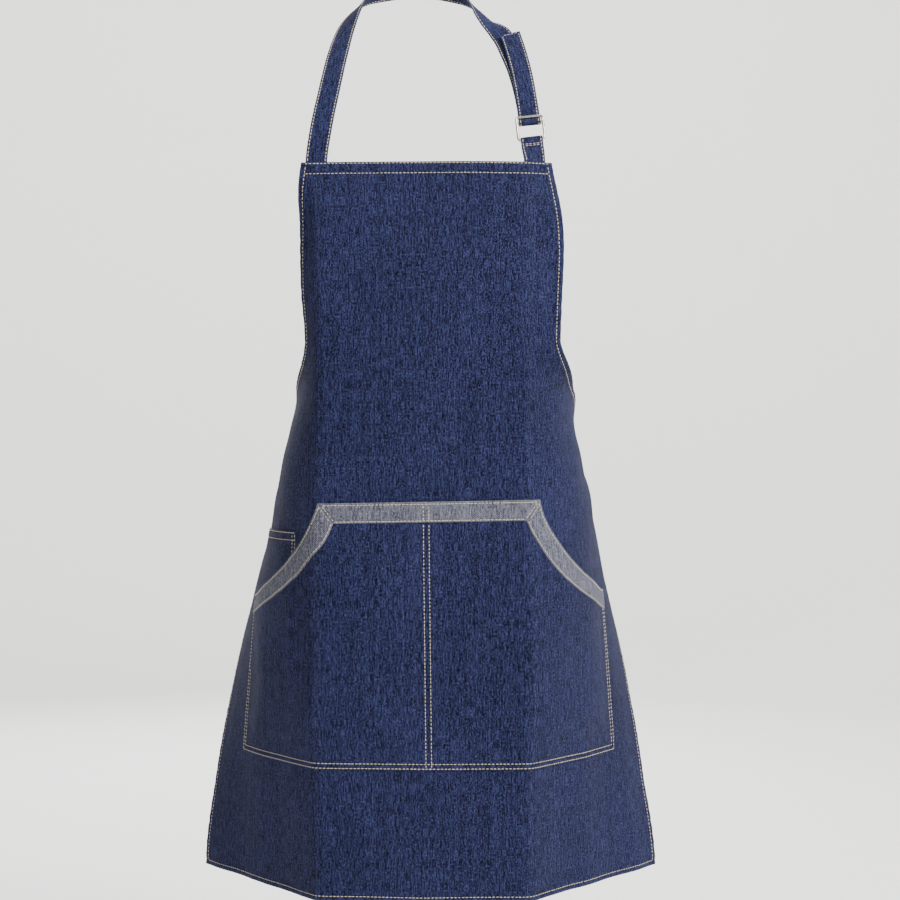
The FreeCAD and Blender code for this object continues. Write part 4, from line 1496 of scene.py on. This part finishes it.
class ApronStageOperator(bpy.types.Operator):
    """Adds the floor and backdrop, the soft lights and the camera"""

    bl_idname = "apron.stage"
    bl_label = "Studio"

    def execute(self, context):
        deselect_all()
        profile = [(0.0, 0.0), (FLOOR_RADIUS, 0.0)]
        bend = np.radians(np.arange(10, 91, 10))
        profile += [(FLOOR_RADIUS + math.sin(a), 1.0 - math.cos(a)) for a in bend]
        profile.append((FLOOR_RADIUS + 1.0, BACKDROP_HEIGHT))
        base = FLOOR_LEVEL
        turns = 64
        points = [(0.0, 0.0, base)]
        for k in range(turns):
            angle = 2 * math.pi * k / turns
            points += [(r * math.cos(angle), r * math.sin(angle), base + z) for r, z in profile[1:]]
        ring = len(profile) - 1
        faces = []
        for k in range(turns):
            here, there = 1 + k * ring, 1 + (k + 1) % turns * ring
            faces.append((0, here, there))
            faces += [(here + j, here + j + 1, there + j + 1, there + j) for j in range(ring - 1)]
        stage = mesh_object("studio_floor", points, faces)
        stage.data.materials.append(material("studio_paper"))
        lights = (
            ("key_light", (1.66, -1.73, 1.60), 1.3, 252.0, (1.0, 0.985, 0.96)),
            ("fill_light", (-2.4, -2.3, 0.3), 2.2, 0.5, (0.95, 0.97, 1.0)),
            ("top_light", (0.2, -0.2, 2.0), 1.8, 14.0, (1.0, 1.0, 1.0)),
            ("back_light", (-0.9, 2.8, 0.7), 1.8, 70.0, (1.0, 1.0, 1.0)),
            ("backdrop_light", (0.0, 1.4, 2.2), 2.4, 170.0, (1.0, 1.0, 1.0)),
        )
        wall = np.array([0.0, 4.6, -0.6])
        target = np.array([0.02, -0.08, -0.40])
        for name, place, size, power, tint in lights:
            bpy.ops.object.light_add(type="AREA", location=place)
            light = bpy.context.object
            light.name = name
            light.data.size = size
            light.data.energy = power
            light.data.color = tint
            aim = mathutils.Vector((wall if name == "backdrop_light" else target) - np.array(place))
            light.rotation_euler = aim.to_track_quat("-Z", "Y").to_euler()
        world = bpy.data.worlds.new("studio_air")
        bpy.context.scene.world = world
        world.use_nodes = True
        air = world.node_tree.nodes["Background"]
        air.inputs["Color"].default_value = (0.95, 0.97, 1.0, 1.0)
        air.inputs["Strength"].default_value = 0.05
        turned = (math.pi / 2, 0.0, math.radians(1.0))
        bpy.ops.object.camera_add(location=(0.0744, -2.1607, -0.544), rotation=turned)
        camera = bpy.context.object
        camera.name = "studio_camera"
        camera.data.lens = 73.4
        camera.data.sensor_width = 36.0
        context.scene.camera = camera
        return {"FINISHED"}


class ApronSidebar(bpy.types.Panel):
    """Lists the apron's pieces in the sidebar"""

    bl_idname = "VIEW3D_PT_apron"
    bl_label = "Denim Bib Apron"
    bl_space_type = "VIEW_3D"
    bl_region_type = "UI"
    bl_category = "Apron"

    def draw(self, context):
        for group in ("apron_sewing", "apron_weave", "apron_colours"):
            settings = getattr(context.scene, group)
            for name in settings.__annotations__:
                self.layout.prop(settings, name)
        for operator in OPERATORS:
            self.layout.operator(operator.bl_idname)


GROUPS = {"apron_sewing": ApronSewing, "apron_weave": ApronWeave, "apron_colours": ApronColours}
OPERATORS = (
    ApronStageOperator,
    ApronPanelOperator,
    ApronPatchOperator,
    ApronPocketOperator,
    ApronStrapOperator,
    ApronBuckleOperator,
    ApronTiesOperator,
)


def register():
    """Registers the classes and gives the scene its settings."""
    for made in (*GROUPS.values(), *OPERATORS, ApronSidebar):
        bpy.utils.register_class(made)
    for name, group in GROUPS.items():
        setattr(bpy.types.Scene, name, bpy.props.PointerProperty(type=group))


def unregister():
    """Takes the settings and the classes away again."""
    for name in GROUPS:
        delattr(bpy.types.Scene, name)
    for made in (ApronSidebar, *reversed(OPERATORS), *GROUPS.values()):
        bpy.utils.unregister_class(made)


def main():
    """Builds the whole apron."""
    register()
    for operator in OPERATORS:
        group, name = operator.bl_idname.split(".")
        getattr(getattr(bpy.ops, group), name)()


if __name__ == "__main__":
    main()
